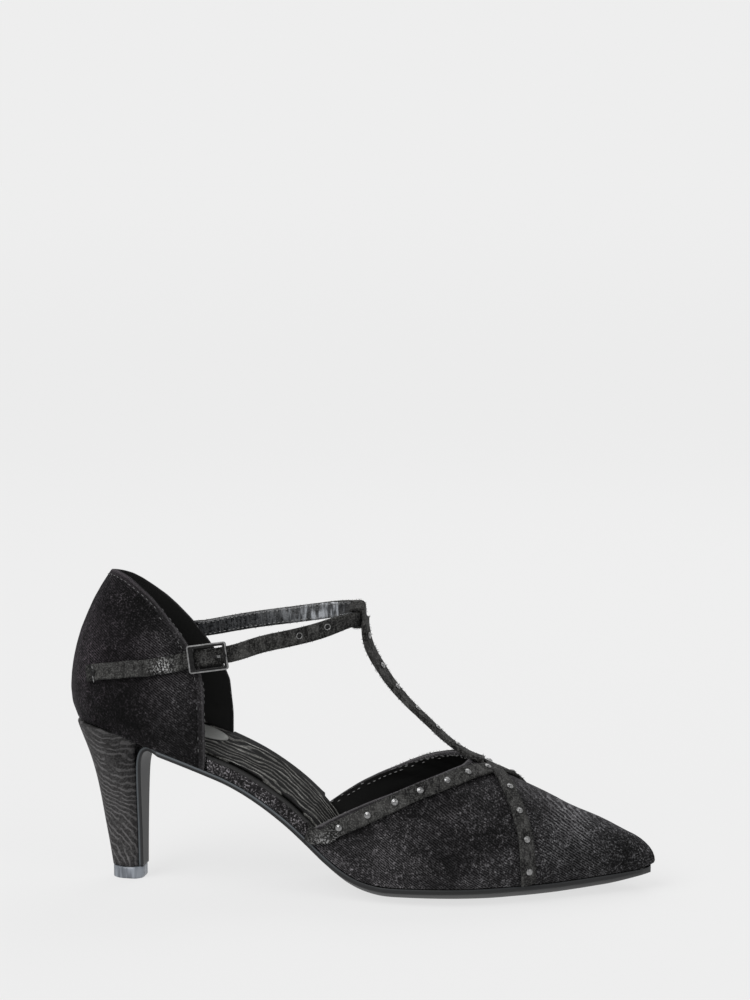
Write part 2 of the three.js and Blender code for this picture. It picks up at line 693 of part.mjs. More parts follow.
function board() {
  return bent(BOARD_RUN.length - 1, ACROSS, 1, (i, j, k) => {
    const x = BOARD_RUN[i];
    const across = sideAt(j) * boardHalf(x);
    const side = across / Math.max(featherHalf(x), NARROWEST);
    return place(x, across, k === 0 ? layer(x, side, SEAT_TOP) : boardTop(x, side));
  });
}

function sock() {
  const run = BOARD_RUN.slice(1, -1);
  const cells = 6;
  return bent(run.length - 1, cells, 1, (i, j, k) => {
    const x = run[i];
    const narrows = smooth(x, COUNTER_FRONT - SOCK_NARROWS_OVER, COUNTER_FRONT);
    const widens = smooth(x, VAMP_BACK, VAMP_BACK + SOCK_NARROWS_OVER);
    const margin = SOCK_MARGIN * narrows * (1 - widens);
    const half = Math.max(featherHalf(x, -SIDE_INSET - SOCK_SIDE_GAP) - margin, NARROWEST);
    const across = (-1 + (2 * j) / cells) * half;
    const side = across / Math.max(featherHalf(x), NARROWEST);
    return place(x, across, boardTop(x, side) + (FIT + k * SOCK_THICKNESS) * steep(x));
  });
}

// Counter: the wall round the back of the foot, from its lateral front edge to the medial one
function counterPoint(around, rise, inside) {
  const side = around < 0.5 ? -1 : 1;
  const t = 1 - Math.abs(2 * around - 1);
  const height = rise * COUNTER_HEIGHT;
  const back = BACK + BACK_LEAN * counterLean(rise) + inside;
  const front = COUNTER_FRONT - FRONT_SWEEP * counterSweep(rise);
  if (t <= ROUND_FROM) {
    const along = lerp(front, ROUND_SEAT_TO, t / ROUND_FROM);
    const foot = lerp(COUNTER_FRONT, ROUND_SEAT_TO, t / ROUND_FROM);
    const half = featherHalf(along) * counterWidth(rise) - inside;
    return heelPlace(along, side * half, featherHeight(foot) + height);
  }
  const angle = ((t - ROUND_FROM) / (1 - ROUND_FROM)) * (Math.PI / 2);
  const half = (SEAT_WIDTH / 2) * counterWidth(rise) - inside;
  const along = ROUND_SEAT_TO - (ROUND_SEAT_TO - back) * Math.sin(angle);
  const foot = ROUND_SEAT_TO - (ROUND_SEAT_TO - SEAT_BACK) * Math.sin(angle);
  return heelPlace(along, side * half * Math.cos(angle), featherHeight(foot) + height);
}

function counter() {
  const cells = 28;
  const levels = 10;
  return bent(cells, levels, 1, (i, j, k) => {
    const even = (2 * i) / cells - 1;
    const fromFront = (1 - Math.abs(even)) ** COUNTER_SPACING;
    const around = even < 0 ? fromFront / 2 : 1 - fromFront / 2;
    const top = even < 0 ? lateralTop(fromFront) : medialTop(fromFront);
    return counterPoint(around, (top * j) / levels, (1 - k) * UPPER_WALL);
  });
}

// Vamp: around runs from the lateral feather line over the ridge to the medial one
function vampPoint(x, around, grow) {
  const at = share(x);
  const round = toeRound(x, TIP + grow, VAMP_TOE_ROUNDING);
  const slant = Math.hypot(1, slopeOf(plainHalf, x));
  const feather = plainHalf(x);
  const half = Math.max((feather + UPPER_BULGE + grow * slant) * round, 0);
  const tuck = Math.acos(feather / (feather + UPPER_BULGE));
  const ridge = INSTEP_HEIGHT * instepShare(at) + TOE_DEPTH * toeShare(at);
  const height = Math.max((ridge + grow * RIDGE_SLANT) * round, 0);
  const belly = BELLY_HEIGHT * bellyShare(at) * lerp(0.5, 1, round);
  const angle = lerp(-tuck, Math.PI + tuck, around);
  const sine = Math.sin(angle);
  const up = sine > 0 ? height * sine : (belly * sine * Math.sqrt(round)) / Math.sin(tuck);
  return place(x, -half * Math.cos(angle), featherHeight(x) + belly + up);
}

function vamp() {
  const cells = 24;
  const steps = 24;
  return bent(steps, cells, 1, (i, j, k) => {
    const around = j / cells;
    const fromFeather = 1 - Math.abs(2 * around - 1);
    const start = lerp(VAMP_BACK, THROAT, toplineAt(fromFeather));
    const grow = k === 0 ? -UPPER_WALL : 0;
    const end = TIP + grow;
    const x = lerp(start, end, Math.sin((Math.PI / 2) * (i / steps)) ** VAMP_SPACING);
    return vampPoint(x, around, grow);
  });
}

// Straps that follow the vamp: along the top line, over the ridge and down the other side
function vampFrame(x, around) {
  const point = vampPoint(x, around, 0);
  const along = vampPoint(x + PROBE, around, 0).sub(vampPoint(x - PROBE, around, 0));
  along.divideScalar(2 * PROBE);
  const over = vampPoint(x, around + PROBE_AROUND, 0).sub(vampPoint(x, around - PROBE_AROUND, 0));
  over.divideScalar(2 * PROBE_AROUND);
  const out = new THREE.Vector3().crossVectors(along, over).normalize();
  return { point, along, over, out };
}

// The place on the vamp a short way off in a given direction
function walk(x, around, step) {
  const { along, over } = vampFrame(x, around);
  const [a, b, c] = [along.dot(along), along.dot(over), over.dot(over)];
  const [p, q] = [along.dot(step), over.dot(step)];
  const scale = a * c - b * b;
  return [x + (p * c - q * b) / scale, around + (q * a - p * b) / scale];
}

function crossingPlace(t, mirrored) {
  const x = lerp(VAMP_BACK, THROAT, crossAt(t));
  return [x, mirrored ? 1 - t : t];
}

function crossingFrame(t, mirrored) {
  const [x, around] = crossingPlace(t, mirrored);
  const frame = vampFrame(x, around);
  const before = vampPoint(...crossingPlace(t - PROBE_AROUND, mirrored), 0);
  const ahead = vampPoint(...crossingPlace(t + PROBE_AROUND, mirrored), 0).sub(before).normalize();
  const side = new THREE.Vector3().crossVectors(frame.out, ahead).normalize();
  return { ...frame, x, around, side };
}

function crossingStrap(mirrored) {
  const steps = 40;
  const start = mirrored ? CROSSING_FROM.medial : CROSSING_FROM.lateral;
  return bent(steps, 2, 1, (i, j, k) => {
    const t = lerp(start, CROSSING_TO, i / steps);
    const frame = crossingFrame(t, mirrored);
    const step = frame.side.clone().multiplyScalar(((j - 1) * STRAP_WIDTH) / (2 * WALK_STEPS));
    let spot = [frame.x, frame.around];
    for (let n = 0; n < WALK_STEPS; n += 1) spot = walk(...spot, step);
    const edge = vampFrame(...spot);
    return edge.point.addScaledVector(edge.out, STRAP_FIT + k * STRAP_THICKNESS);
  });
}

// A flat band through frames that give its middle, its width direction and its outward direction
function band(frames, width, thickness) {
  return bent(frames.length - 1, 1, 1, (i, j, k) => {
    const { point, side, out } = frames[i];
    const edge = point.clone().addScaledVector(side, (j - 0.5) * width);
    return edge.addScaledVector(out, (k - 0.5) * thickness);
  });
}

function bandFrames(points, sides, steps) {
  const curve = new THREE.CatmullRomCurve3(points, false, "centripetal");
  const frames = [];
  for (let i = 0; i <= steps; i += 1) {
    const t = i / steps;
    const point = curve.getPoint(t);
    const ahead = curve.getTangent(t);
    const row = Math.min(Math.floor(t * (sides.length - 1)), sides.length - 2);
    const side = sides[row].clone().lerp(sides[row + 1], t * (sides.length - 1) - row);
    side.addScaledVector(ahead, -side.dot(ahead)).normalize();
    frames.push({ point, ahead, side, out: new THREE.Vector3().crossVectors(ahead, side).normalize() });
  }
  return frames;
}

// Ankle strap: from its riveted end on the counter, through the buckle and the loop, to the inner side
const LOOP = new THREE.Vector3(LOOP_FORWARD, 0, LOOP_HEIGHT);
const LOOP_SLANT = new THREE.Vector3(0, Math.cos(LOOP_TILT), Math.sin(LOOP_TILT));
const LOOP_UP = new THREE.Vector3(0, -Math.sin(LOOP_TILT), Math.cos(LOOP_TILT));
const UP = new THREE.Vector3(0, 0, 1);

function strapOnCounter(fromFront, key) {
  const around = key === "lateral" ? fromFront / 2 : 1 - fromFront / 2;
  const rise = strapRise[key](fromFront);
  const lift = -(FIT + STRAP_THICKNESS / 2) * STRAP_ON_CURVE;
  const point = counterPoint(around, rise, lift);
  const below = counterPoint(around, rise - PROBE_RISE, lift);
  const side = counterPoint(around, rise + PROBE_RISE, lift).sub(below).normalize();
  return { point, side };
}

function onStrand(start, goal, { toLoop, inward, rise }) {
  const [x, y] = [lerp(start.x, goal.x, toLoop), lerp(start.y, goal.y, inward)];
  return new THREE.Vector3(x, y, lerp(start.z, goal.z, rise));
}

function ankleStrapFrames() {
  const points = [];
  const sides = [];
  const put = (point, side) => {
    points.push(point);
    sides.push(side);
  };
  const onCounter = 9;
  for (let i = 0; i <= onCounter; i += 1) {
    const { point, side } = strapOnCounter(lerp(STRAP_END, STRAP_LEAVES, i / onCounter), "lateral");
    put(point, side);
  }
  const nearStart = points[points.length - 1];
  const nearGoal = LOOP.clone().addScaledVector(LOOP_SLANT, -LOOP_WIDTH / 2);
  for (const row of NEAR_STRAND_ROWS) put(onStrand(nearStart, nearGoal, row), UP);
  for (const { across, back } of BEND_ROWS) {
    const behind = new THREE.Vector3(-back * LOOP_WIDTH, 0, 0);
    put(LOOP.clone().addScaledVector(LOOP_SLANT, across * LOOP_WIDTH).add(behind), LOOP_UP);
  }
  const farStart = strapOnCounter(STRAP_LEAVES, "medial").point;
  const farGoal = LOOP.clone().addScaledVector(LOOP_SLANT, LOOP_WIDTH / 2);
  for (const row of [...FAR_STRAND_ROWS].reverse()) put(onStrand(farStart, farGoal, row), UP);
  for (let i = onCounter; i >= 0; i -= 1) {
    const { point, side } = strapOnCounter(lerp(STRAP_END, STRAP_LEAVES, i / onCounter), "medial");
    put(point, side);
  }
  return bandFrames(points, sides, 2 * (points.length - 1));
}

// T-bar: down from the loop to the crossing on the vamp
function barFrames() {
  const foot = vampFrame(THROAT + BAR_OVERLAP, 0.5);
  const end = foot.point.clone().addScaledVector(foot.out, STRAP_FIT + STRAP_THICKNESS * BAR_LIFT);
  const head = LOOP.clone().add(new THREE.Vector3(LOOP_DEPTH / 2 + LOOP_WALL / 2, 0, 0));
  const points = BAR_ROWS.map(({ run, drop }) => {
    return new THREE.Vector3(lerp(head.x, end.x, run), lerp(head.y, end.y, run), lerp(head.z, end.z, drop));
  });
  const sides = BAR_ROWS.map(({ twist }) => new THREE.Vector3(Math.sin(twist), Math.cos(twist), 0));
  return bandFrames(points, sides, 2 * (points.length - 1));
}

// Loop at the head of the T-bar, folded round the ankle strap
function loopRing() {
  const [depth, height] = [LOOP_DEPTH / 2, STRAP_WIDTH / 2 + 2 * FIT];
  const outline = new THREE.Shape();
  roundedBox(outline, depth + LOOP_WALL, height + LOOP_WALL, LOOP_ROUNDING);
  const slot = new THREE.Path();
  roundedBox(slot, depth, height, SLOT_ROUNDING);
  outline.holes.push(slot);
  const ring = new THREE.ExtrudeGeometry(outline, {
    depth: LOOP_WIDTH,
    bevelEnabled: false,
    curveSegments: 3,
  });
  ring.translate(0, 0, -LOOP_WIDTH / 2);
  const ahead = new THREE.Vector3(1, 0, 0);
  const turned = new THREE.Matrix4().makeBasis(ahead, LOOP_UP, LOOP_SLANT.clone().negate());
  const behind = LOOP_DEPTH / 2 - STRAP_THICKNESS / 2 - FIT;
  ring.applyMatrix4(turned.setPosition(LOOP.x - behind, LOOP.y, LOOP.z));
  return ring;
}

function roundedBox(path, x, y, radius, centre = 0) {
  const corners = [[1, 1], [-1, 1], [-1, -1], [1, -1]];
  path.moveTo(centre + x, radius - y);
  corners.forEach(([right, up], i) => {
    const from = (i * Math.PI) / 2;
    path.absarc(centre + right * (x - radius), up * (y - radius), radius, from, from + Math.PI / 2, false);
  });
}

function tStrap() {
  const bar = solid(band(barFrames(), STRAP_WIDTH, BAR_THICKNESS));
  const pieces = [crossingStrap(false), crossingStrap(true), loopRing()].map(solid);
  return surface(pieces.reduce((whole, piece) => whole.add(piece), bar));
}

// Frame at a distance along a strap, worked out on its middle line
const STRAP_FRAMES = ankleStrapFrames();
const gap = (frames, i) => frames[i].point.distanceTo(frames[i + 1].point);

function frameAt(frames, distance) {
  let left = distance;
  let i = 0;
  while (i < frames.length - 2 && left > gap(frames, i)) {
    left -= gap(frames, i);
    i += 1;
  }
  const t = left / gap(frames, i);
  const mix = (key) => frames[i][key].clone().lerp(frames[i + 1][key], t);
  const [ahead, side, out] = ["ahead", "side", "out"].map((key) => mix(key).normalize());
  return { point: mix("point"), ahead, side, out };
}

// A piece modelled flat is laid on a frame: x ahead, y across and z out of the surface
function lay(geometry, frame, lift) {
  const { point, ahead, out } = frame;
  const across = new THREE.Vector3().crossVectors(out, ahead);
  const turned = new THREE.Matrix4().makeBasis(ahead, across, out);
  turned.setPosition(point.clone().addScaledVector(out, lift));
  geometry.applyMatrix4(turned);
  return weld(geometry);
}

function buckleFrame() {
  const outline = new THREE.Shape();
  roundedBox(outline, BUCKLE_LENGTH / 2, BUCKLE_WIDTH / 2, BUCKLE_CORNER);
  const opening = new THREE.Path();
  const inner = (BUCKLE_LENGTH - BUCKLE_BAR - BUCKLE_HINGE_BAR) / 2;
  const offCentre = (BUCKLE_HINGE_BAR - BUCKLE_BAR) / 2;
  roundedBox(opening, inner, BUCKLE_WIDTH / 2 - BUCKLE_BAR, BUCKLE_CORNER / 3, offCentre);
  outline.holes.push(opening);
  return new THREE.ExtrudeGeometry(outline, {
    depth: BUCKLE_DEPTH,
    bevelEnabled: false,
    curveSegments: 3,
  });
}

// Prong: comes up through a hole in the strap and rests over the frame's far bar
function buckleProng() {
  const low = PRONG_WIDTH / 2;
  const high = BUCKLE_DEPTH + FIT + PRONG_WIDTH / 2;
  const over = BUCKLE_LENGTH / 2 - BUCKLE_BAR - PRONG_WIDTH;
  const start = over - PRONG_SHOWS;
  const corners = [
    new THREE.Vector3(start, 0, low),
    new THREE.Vector3(over - PRONG_SHOWS / 2, 0, low),
    new THREE.Vector3(over, 0, high),
    new THREE.Vector3(BUCKLE_LENGTH / 2 - PRONG_WIDTH / 4, 0, high),
  ];
  const steps = corners.length - 1;
  return bent(steps, 1, 1, (i, j, k) => {
    const half = PRONG_WIDTH / 2;
    return corners[i].clone().add(new THREE.Vector3(0, (2 * j - 1) * half, (2 * k - 1) * half));
  });
}

// A small domed stud, and the rivet at the strap's end
function stud(diameter, height) {
  const radius = diameter / 2;
  const profile = [
    new THREE.Vector2(0, 0),
    new THREE.Vector2(radius, 0),
    new THREE.Vector2(radius * STUD_TOP, height),
    new THREE.Vector2(0, height),
  ];
  const turned = new THREE.LatheGeometry(profile, 8);
  turned.rotateX(Math.PI / 2);
  return turned;
}

// Materials
function finish(color, roughness, metalness = 0) {
  return new THREE.MeshStandardMaterial({ color, roughness, metalness });
}

const VELVET = () => finish(0x201f1f, 0.9);
const COVERED = () => finish(0x464442, 0.75);
const STRAPPING = () => finish(0x363635, 0.6);
const SOLE = () => finish(0x3a3b3e, 0.55);
const LIFT = () => finish(0x7c8087, 0.45);
const METAL = () => finish(0x8d9096, 0.3, 1);

const shoe = new THREE.Group();

function add(name, geometry, material) {
  const mesh = new THREE.Mesh(geometry, material);
  mesh.name = name;
  shoe.add(mesh);
}

add("outsole", outsole(), SOLE());
add("heel", heel(), COVERED());
add("heel_lift", heelLift(), LIFT());
add("insole_board", board(), VELVET());
add("insole_sock", sock(), COVERED());
add("counter", counter(), VELVET());
add("vamp", vamp(), VELVET());
add("t_strap", tStrap(), STRAPPING());
add("ankle_strap", band(STRAP_FRAMES, STRAP_WIDTH, STRAP_THICKNESS), STRAPPING());

const onStrap = STRAP_THICKNESS / 2 + FIT;
const onBend = onStrap + FIT;
const buckleSeat = frameAt(STRAP_FRAMES, BUCKLE_FROM_END);
const rivetSeat = frameAt(STRAP_FRAMES, RIVET_FROM_END);
add("buckle_frame", lay(buckleFrame(), buckleSeat, onBend), METAL());
add("buckle_prong", lay(buckleProng(), buckleSeat, onBend), METAL());
add("strap_rivet", lay(stud(RIVET_DIAMETER, STUD_HEIGHT), rivetSeat, onStrap), METAL());

// Studs: along both top-line trims, down both crossing ends, and along the T-bar
function crossingStud(name, t, mirrored) {
  const frame = crossingFrame(t, mirrored);
  const ahead = new THREE.Vector3().crossVectors(frame.side, frame.out);
  const seat = { point: frame.point, ahead, out: frame.out };
  add(name, lay(stud(STUD_DIAMETER, STUD_HEIGHT), seat, STRAP_FIT + STRAP_THICKNESS + FIT), METAL());
}

for (const [side, mirrored] of [["lateral", false], ["medial", true]]) {
  TRIM_STUD_AT.forEach((t, i) => crossingStud(`${side}_trim_stud_${i + 1}`, t, mirrored));
  CROSS_STUD_AT.forEach((t, i) => crossingStud(`${side}_cross_stud_${i + 1}`, t, !mirrored));
}

const BAR_FRAMES = barFrames();
const BAR_LENGTH = BAR_FRAMES.slice(1).reduce((sum, none, i) => sum + gap(BAR_FRAMES, i), 0);
BAR_STUD_AT.forEach((part, i) => {
  const seat = frameAt(BAR_FRAMES, part * BAR_LENGTH);
  add(`bar_stud_${i + 1}`, lay(stud(STUD_DIAMETER, STUD_HEIGHT), seat, BAR_THICKNESS / 2 + FIT), METAL());
});

export default shoe;
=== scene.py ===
import math
import random

import bmesh
import bpy
from bpy.props import FloatProperty, IntProperty, PointerProperty
from mathutils import Matrix, Vector
from mathutils.bvhtree import BVHTree


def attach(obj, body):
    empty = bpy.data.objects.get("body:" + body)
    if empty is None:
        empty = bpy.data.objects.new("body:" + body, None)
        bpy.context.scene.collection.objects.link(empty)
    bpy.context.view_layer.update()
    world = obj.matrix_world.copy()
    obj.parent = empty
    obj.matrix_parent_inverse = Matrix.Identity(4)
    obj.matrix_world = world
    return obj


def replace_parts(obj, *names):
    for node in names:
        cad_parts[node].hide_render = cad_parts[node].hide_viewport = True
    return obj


bl_info = {
    "name": "Velvet shoe",
    "version": (1, 0, 0),
    "blender": (4, 5, 0),
    "location": "3D View > Sidebar > Shoe",
    "description": "Builds the velvet shoe's shown pieces over its CAD frame",
    "category": "Object",
}

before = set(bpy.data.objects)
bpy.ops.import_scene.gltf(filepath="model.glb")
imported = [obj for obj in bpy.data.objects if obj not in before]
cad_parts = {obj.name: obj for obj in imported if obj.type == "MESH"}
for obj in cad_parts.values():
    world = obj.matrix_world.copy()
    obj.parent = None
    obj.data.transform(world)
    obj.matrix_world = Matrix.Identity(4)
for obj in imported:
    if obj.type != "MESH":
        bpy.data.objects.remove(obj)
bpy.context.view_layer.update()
MM = 0.001
FULL_TURN = 2 * math.pi
SHELLS = ("counter", "vamp")

# Pitches of the velvet's ribs, the heel's stripes and the sock's ribs, in millimetres
RIB_PITCH = 0.95
STRIPE_PITCH = 3.3
SOCK_PITCH = 4.4
# The base of the materials' fading curves, and where the velvet's level stops growing
FADE = 2.718
BODY_TOP = 4.0
# How much of a piece's shrinking by subdivision is drawn back out
PULL_OUT = 0.9

# Length and thickness of the stitches, and their lift over a surface, in millimetres
LONG_STITCH = (1.7, 0.4)
LINING_STITCH = (1.6, 0.5)
STRAP_STITCH = (1.3, 0.35)
STITCH_LIFT = 0.12

# The upper, in millimetres: how far from the edge creases start, and the points that its rows
# of stitches lie towards, the counter's being this height under its own middle
CREASE_START = 0.2
VAMP_CENTRE = (200, 0, 0)
COUNTER_LOW = -40
# Faces whose normal is lower than this belong to a shell's lower edge
LOOKS_DOWN = -0.3

# The sole's pieces: node, slot, finish and how sharp their edges stay
SOLE_PIECES = (
    ("outsole", "sole", "sole_sheet", 0.92),
    ("insole_board", "velvet_edge", "board_velvet", 0.7),
    ("insole_sock", "sock", "sock_cloth", 0.8),
    ("heel", "heel_cover", "heel_cloth", 1.0),
    ("heel_lift", "lift", "lift_rubber", 0.85),
)

# The plain patch on the sock, in millimetres; its places are dropped on it from overhead
PATCH_CENTRE = (31.0, 4.5)
PATCH_HALF = (12.5, 9.0)
PATCH_LIFT = 0.25
PATCH_THICKNESS = 0.2
OVERHEAD = 200

# The straps' loose fibres, in millimetres: how many, their length and radius from and to, the
# radius of their tip and how deep their root lies
FRAY_SEED = 11
FRAY_COUNTS = {"t_strap": 1500, "ankle_strap": 1100}
FRAY_LENGTH = (0.35, 0.95)
FRAY_RADIUS = (0.08, 0.16)
FRAY_TIP = 0.02
FRAY_ROOT = 0.25

# The ankle strap, in millimetres: a point inside its round, the seams along its edges, their
# place a share of its width, and the short row of stitches at its near end
STRAP_CENTRE = (60, -2, 105)
SEAM_SHARE = 0.13
SEAM_PITCH = 2.2
SEAM_LIFT = 0.1
TACK_COUNT = 5
TACK_START = (-13.4, -24, 97)
TACK_STEP = (0.55, 0, -2.1)
TACK_AHEAD = (0.25, 0, -1)

# Punched places on the strap's near strand, in millimetres, and what each shows; a place is
# found from a point a little before it
PUNCHED = (
    (78.1, -11.7, 110.4, "ring"),
    (89.5, -6.5, 113.3, "ring"),
    (49.7, -23.7, 104.2, "hole"),
    (37.5, -24.5, 102.2, "hole"),
    (23.5, -25.4, 99.4, "hole"),
)
PUNCHED_BEFORE = (0, -3, 0)
# The eyelet rings' radius and wire, and the radius, taper and depth of the dark discs that
# paint the shade in the holes, in millimetres
EYELET_RADIUS = 1.25
EYELET_WIRE = 0.2
SHADE_RADIUS = {"ring": 1.0, "hole": 0.65}
SHADE_TAPER = 0.05
SHADE_DEPTH = 0.12

# A stud's outline: shares of its half width and of its height
DOME = (
    (0.0, 1.0),
    (0.32, 0.93),
    (0.58, 0.72),
    (0.76, 0.42),
    (0.84, 0.36),
    (1.0, 0.4),
    (1.0, 0.0),
    (0.0, 0.0),
)
# A shown stud's width as a share of the node's, and the rivet's dome, in millimetres
STUD_SPREAD = 1.08
RIVET_DOME = 0.5

# The stage, in metres and degrees: the floor sweeps up into a wall behind the shoe, and its
# paper goes from the first grey to the second over a height that is given in millimetres
FLOOR_FRONT = -2.5
FLOOR_BACK = 1.6
FLOOR_HALF = 5.0
SWEEP = 1.2
WALL_TOP = 5.0
PAPER = {"Base Color": (0.15, 0.0), "Emission Color": (0.69, 0.855)}
PAPER_FADE = 260.0
SUN_POWER = 1.55
SUN_SPREAD = 50
SUN_TURN = (24, -34, 0)
SKY_POWER = 0.34
CAMERA_PLACE = (0.2217, -1.1760, 0.3233)
CAMERA_TURN = (82.5, 0.0, 5.5)
# Name, place, power and side of each lamp; the main one's side is a size of the stage
LAMPS = (
    ("main_light", (-0.7, -1.2, 1.2), 6.0, None),
    ("side_light", (1.2, -0.7, 0.9), 3.0, 0.8),
    ("back_light", (0.3, 1.0, 1.2), 4.0, 0.9),
)
LAMP_AIM = (0.1, 0.0, 0.05)

# Painted sheen (plus) and painted shade (minus) on the velvet: x, z, reach in millimetres, and gain
SHEEN_AND_SHADE = {
    "counter": (
        (26, 84, 13, 0.55),
        (18, 106, 14, 0.3),
        (-18, 96, 14, 0.25),
        (2, 72, 16, -0.35),
        (8, 94, 10, -0.25),
    ),
    "board": ((40, 50, 22, 0.3),),
    "vamp": (
        (112, 10, 20, 0.4),
        (140, 33, 18, -0.15),
        (152, 40, 9, 0.4),
        (194, 34, 20, 0.25),
        (164, 16, 14, 0.2),
        (222, 4, 12, -0.05),
    ),
}

# Soft troughs (minus) and ridges (plus) of the velvet: from, to, reach and height, in millimetres
CREASES = {
    "counter": (
        ((34, -26, 84), (12, -30, 100), 4.0, -0.35),
        ((26, -30, 74), (38, -26, 92), 5.0, 0.35),
        ((-6, -26, 78), (8, -30, 92), 5.0, -0.3),
        ((-18, -14, 92), (-8, -22, 112), 5.0, 0.3),
        ((4, -28, 106), (20, -22, 118), 4.0, -0.3),
    ),
    "vamp": (
        ((98, -34, 22), (122, -38, 14), 5.0, -0.35),
        ((110, -36, 30), (134, -34, 34), 5.0, 0.4),
        ((128, -38, 18), (150, -34, 30), 5.0, -0.35),
        ((150, -24, 46), (160, -30, 30), 4.0, 0.35),
        ((168, -22, 34), (184, -26, 20), 5.0, -0.3),
        ((186, -14, 30), (206, -14, 20), 5.0, 0.3),
        ((140, 20, 40), (156, 30, 22), 6.0, -0.3),
    ),
}


class Wire:
    """A shader socket that takes part in sums, products and powers."""

    def __init__(self, tree, socket):
        self.tree = tree
        self.socket = socket

    def maths(self, kind, *values):
        """A maths node fed with the values, in their order."""
        node = self.tree.nodes.new("ShaderNodeMath")
        node.operation = kind
        for slot, value in zip(node.inputs, values):
            plug(self.tree, slot, value)
        return Wire(self.tree, node.outputs[0])

    def __add__(self, other):
        return self.maths("ADD", self, other)

    def __radd__(self, other):
        return self.maths("ADD", other, self)

    def __sub__(self, other):
        return self.maths("SUBTRACT", self, other)

    def __rsub__(self, other):
        return self.maths("SUBTRACT", other, self)

    def __mul__(self, other):
        return self.maths("MULTIPLY", self, other)

    def __pow__(self, other):
        return self.maths("POWER", self, other)

    def __rpow__(self, other):
        return self.maths("POWER", other, self)

    def sine(self):
        return self.maths("SINE", self)

    def between(self, low, high):
        """0 below low, 1 above high and a soft step between them."""
        node = self.tree.nodes.new("ShaderNodeMapRange")
        node.interpolation_type = "SMOOTHSTEP"
        for name, value in (("Value", self), ("From Min", low), ("From Max", high)):
            plug(self.tree, node.inputs[name], value)
        return Wire(self.tree, node.outputs["Result"])


def plug(tree, slot, value):
    """Links a socket into an input, or sets the input to a constant."""
    if isinstance(value, Wire):
        tree.links.new(value.socket, slot)
    else:
        slot.default_value = value


class Finish:
    """One material, built round a Principled shader."""

    def __init__(self, name, **constants):
        self.material = bpy.data.materials.new(name)
        self.material.use_nodes = True
        self.tree = self.material.node_tree
        self.shader = self.tree.nodes["Principled BSDF"]
        place = self.node("ShaderNodeTexCoord", {}, {})
        self.place = Wire(self.tree, place.outputs["Object"])
        split = self.node("ShaderNodeSeparateXYZ", {}, {0: self.place})
        self.x, self.y, self.z = (Wire(self.tree, out) * (1 / MM) for out in split.outputs)
        for name, value in constants.items():
            self.set(name.replace("_", " "), value)

    def node(self, kind, settings, inputs):
        """Any node: its type, its settings, and then its inputs."""
        made = self.tree.nodes.new(kind)
        for name, value in settings.items():
            setattr(made, name, value)
        for name, value in inputs.items():
            plug(self.tree, made.inputs[name], value)
        return made

    def set(self, name, value):
        """Sets an input of the Principled shader."""
        plug(self.tree, self.shader.inputs[name], value)

    def stretched(self, turn, scale):
        """Object coordinates turned and then stretched."""
        made = self.node(
            "ShaderNodeMapping", {}, {"Vector": self.place, "Rotation": turn, "Scale": scale}
        )
        return Wire(self.tree, made.outputs[0])

    def noise(self, scale, detail=2.0, roughness=0.5, vector=None):
        """A cloudy pattern from 0 to 1, finer as the scale grows."""
        made = self.node(
            "ShaderNodeTexNoise",
            {},
            {
                "Vector": vector or self.place,
                "Scale": scale,
                "Detail": detail,
                "Roughness": roughness,
            },
        )
        return Wire(self.tree, made.outputs[0])

    def near(self, x, z, reach):
        """1 at a place seen from the side, in millimetres, fading out over the reach."""
        gap = (self.x - x) ** 2.0 + (self.z - z) ** 2.0
        return FADE ** (gap * (-1.0 / reach**2))

    def attribute(self, name):
        """A value that the mesh holds at each corner."""
        made = self.node("ShaderNodeAttribute", {"attribute_name": name}, {})
        return Wire(self.tree, made.outputs["Fac"])

    def blend(self, amount, one, two):
        """From colour one at 0 to colour two at 1."""
        made = self.node("ShaderNodeMix", {"data_type": "RGBA"}, {0: amount, 6: one, 7: two})
        return Wire(self.tree, made.outputs[2])

    def bump(self, height, distance, strength=1.0):
        """Fine relief, its distance in metres."""
        made = self.node(
            "ShaderNodeBump", {}, {"Strength": strength, "Distance": distance, "Height": height}
        )
        self.set("Normal", Wire(self.tree, made.outputs[0]))


def grey(level, tint=(1.0, 1.0, 1.0)):
    """A shader colour from a level of 0 to 255 as seen on a screen."""
    light = ((level / 255.0 + 0.055) / 1.055) ** 2.4
    return (light * tint[0], light * tint[1], light * tint[2], 1.0)


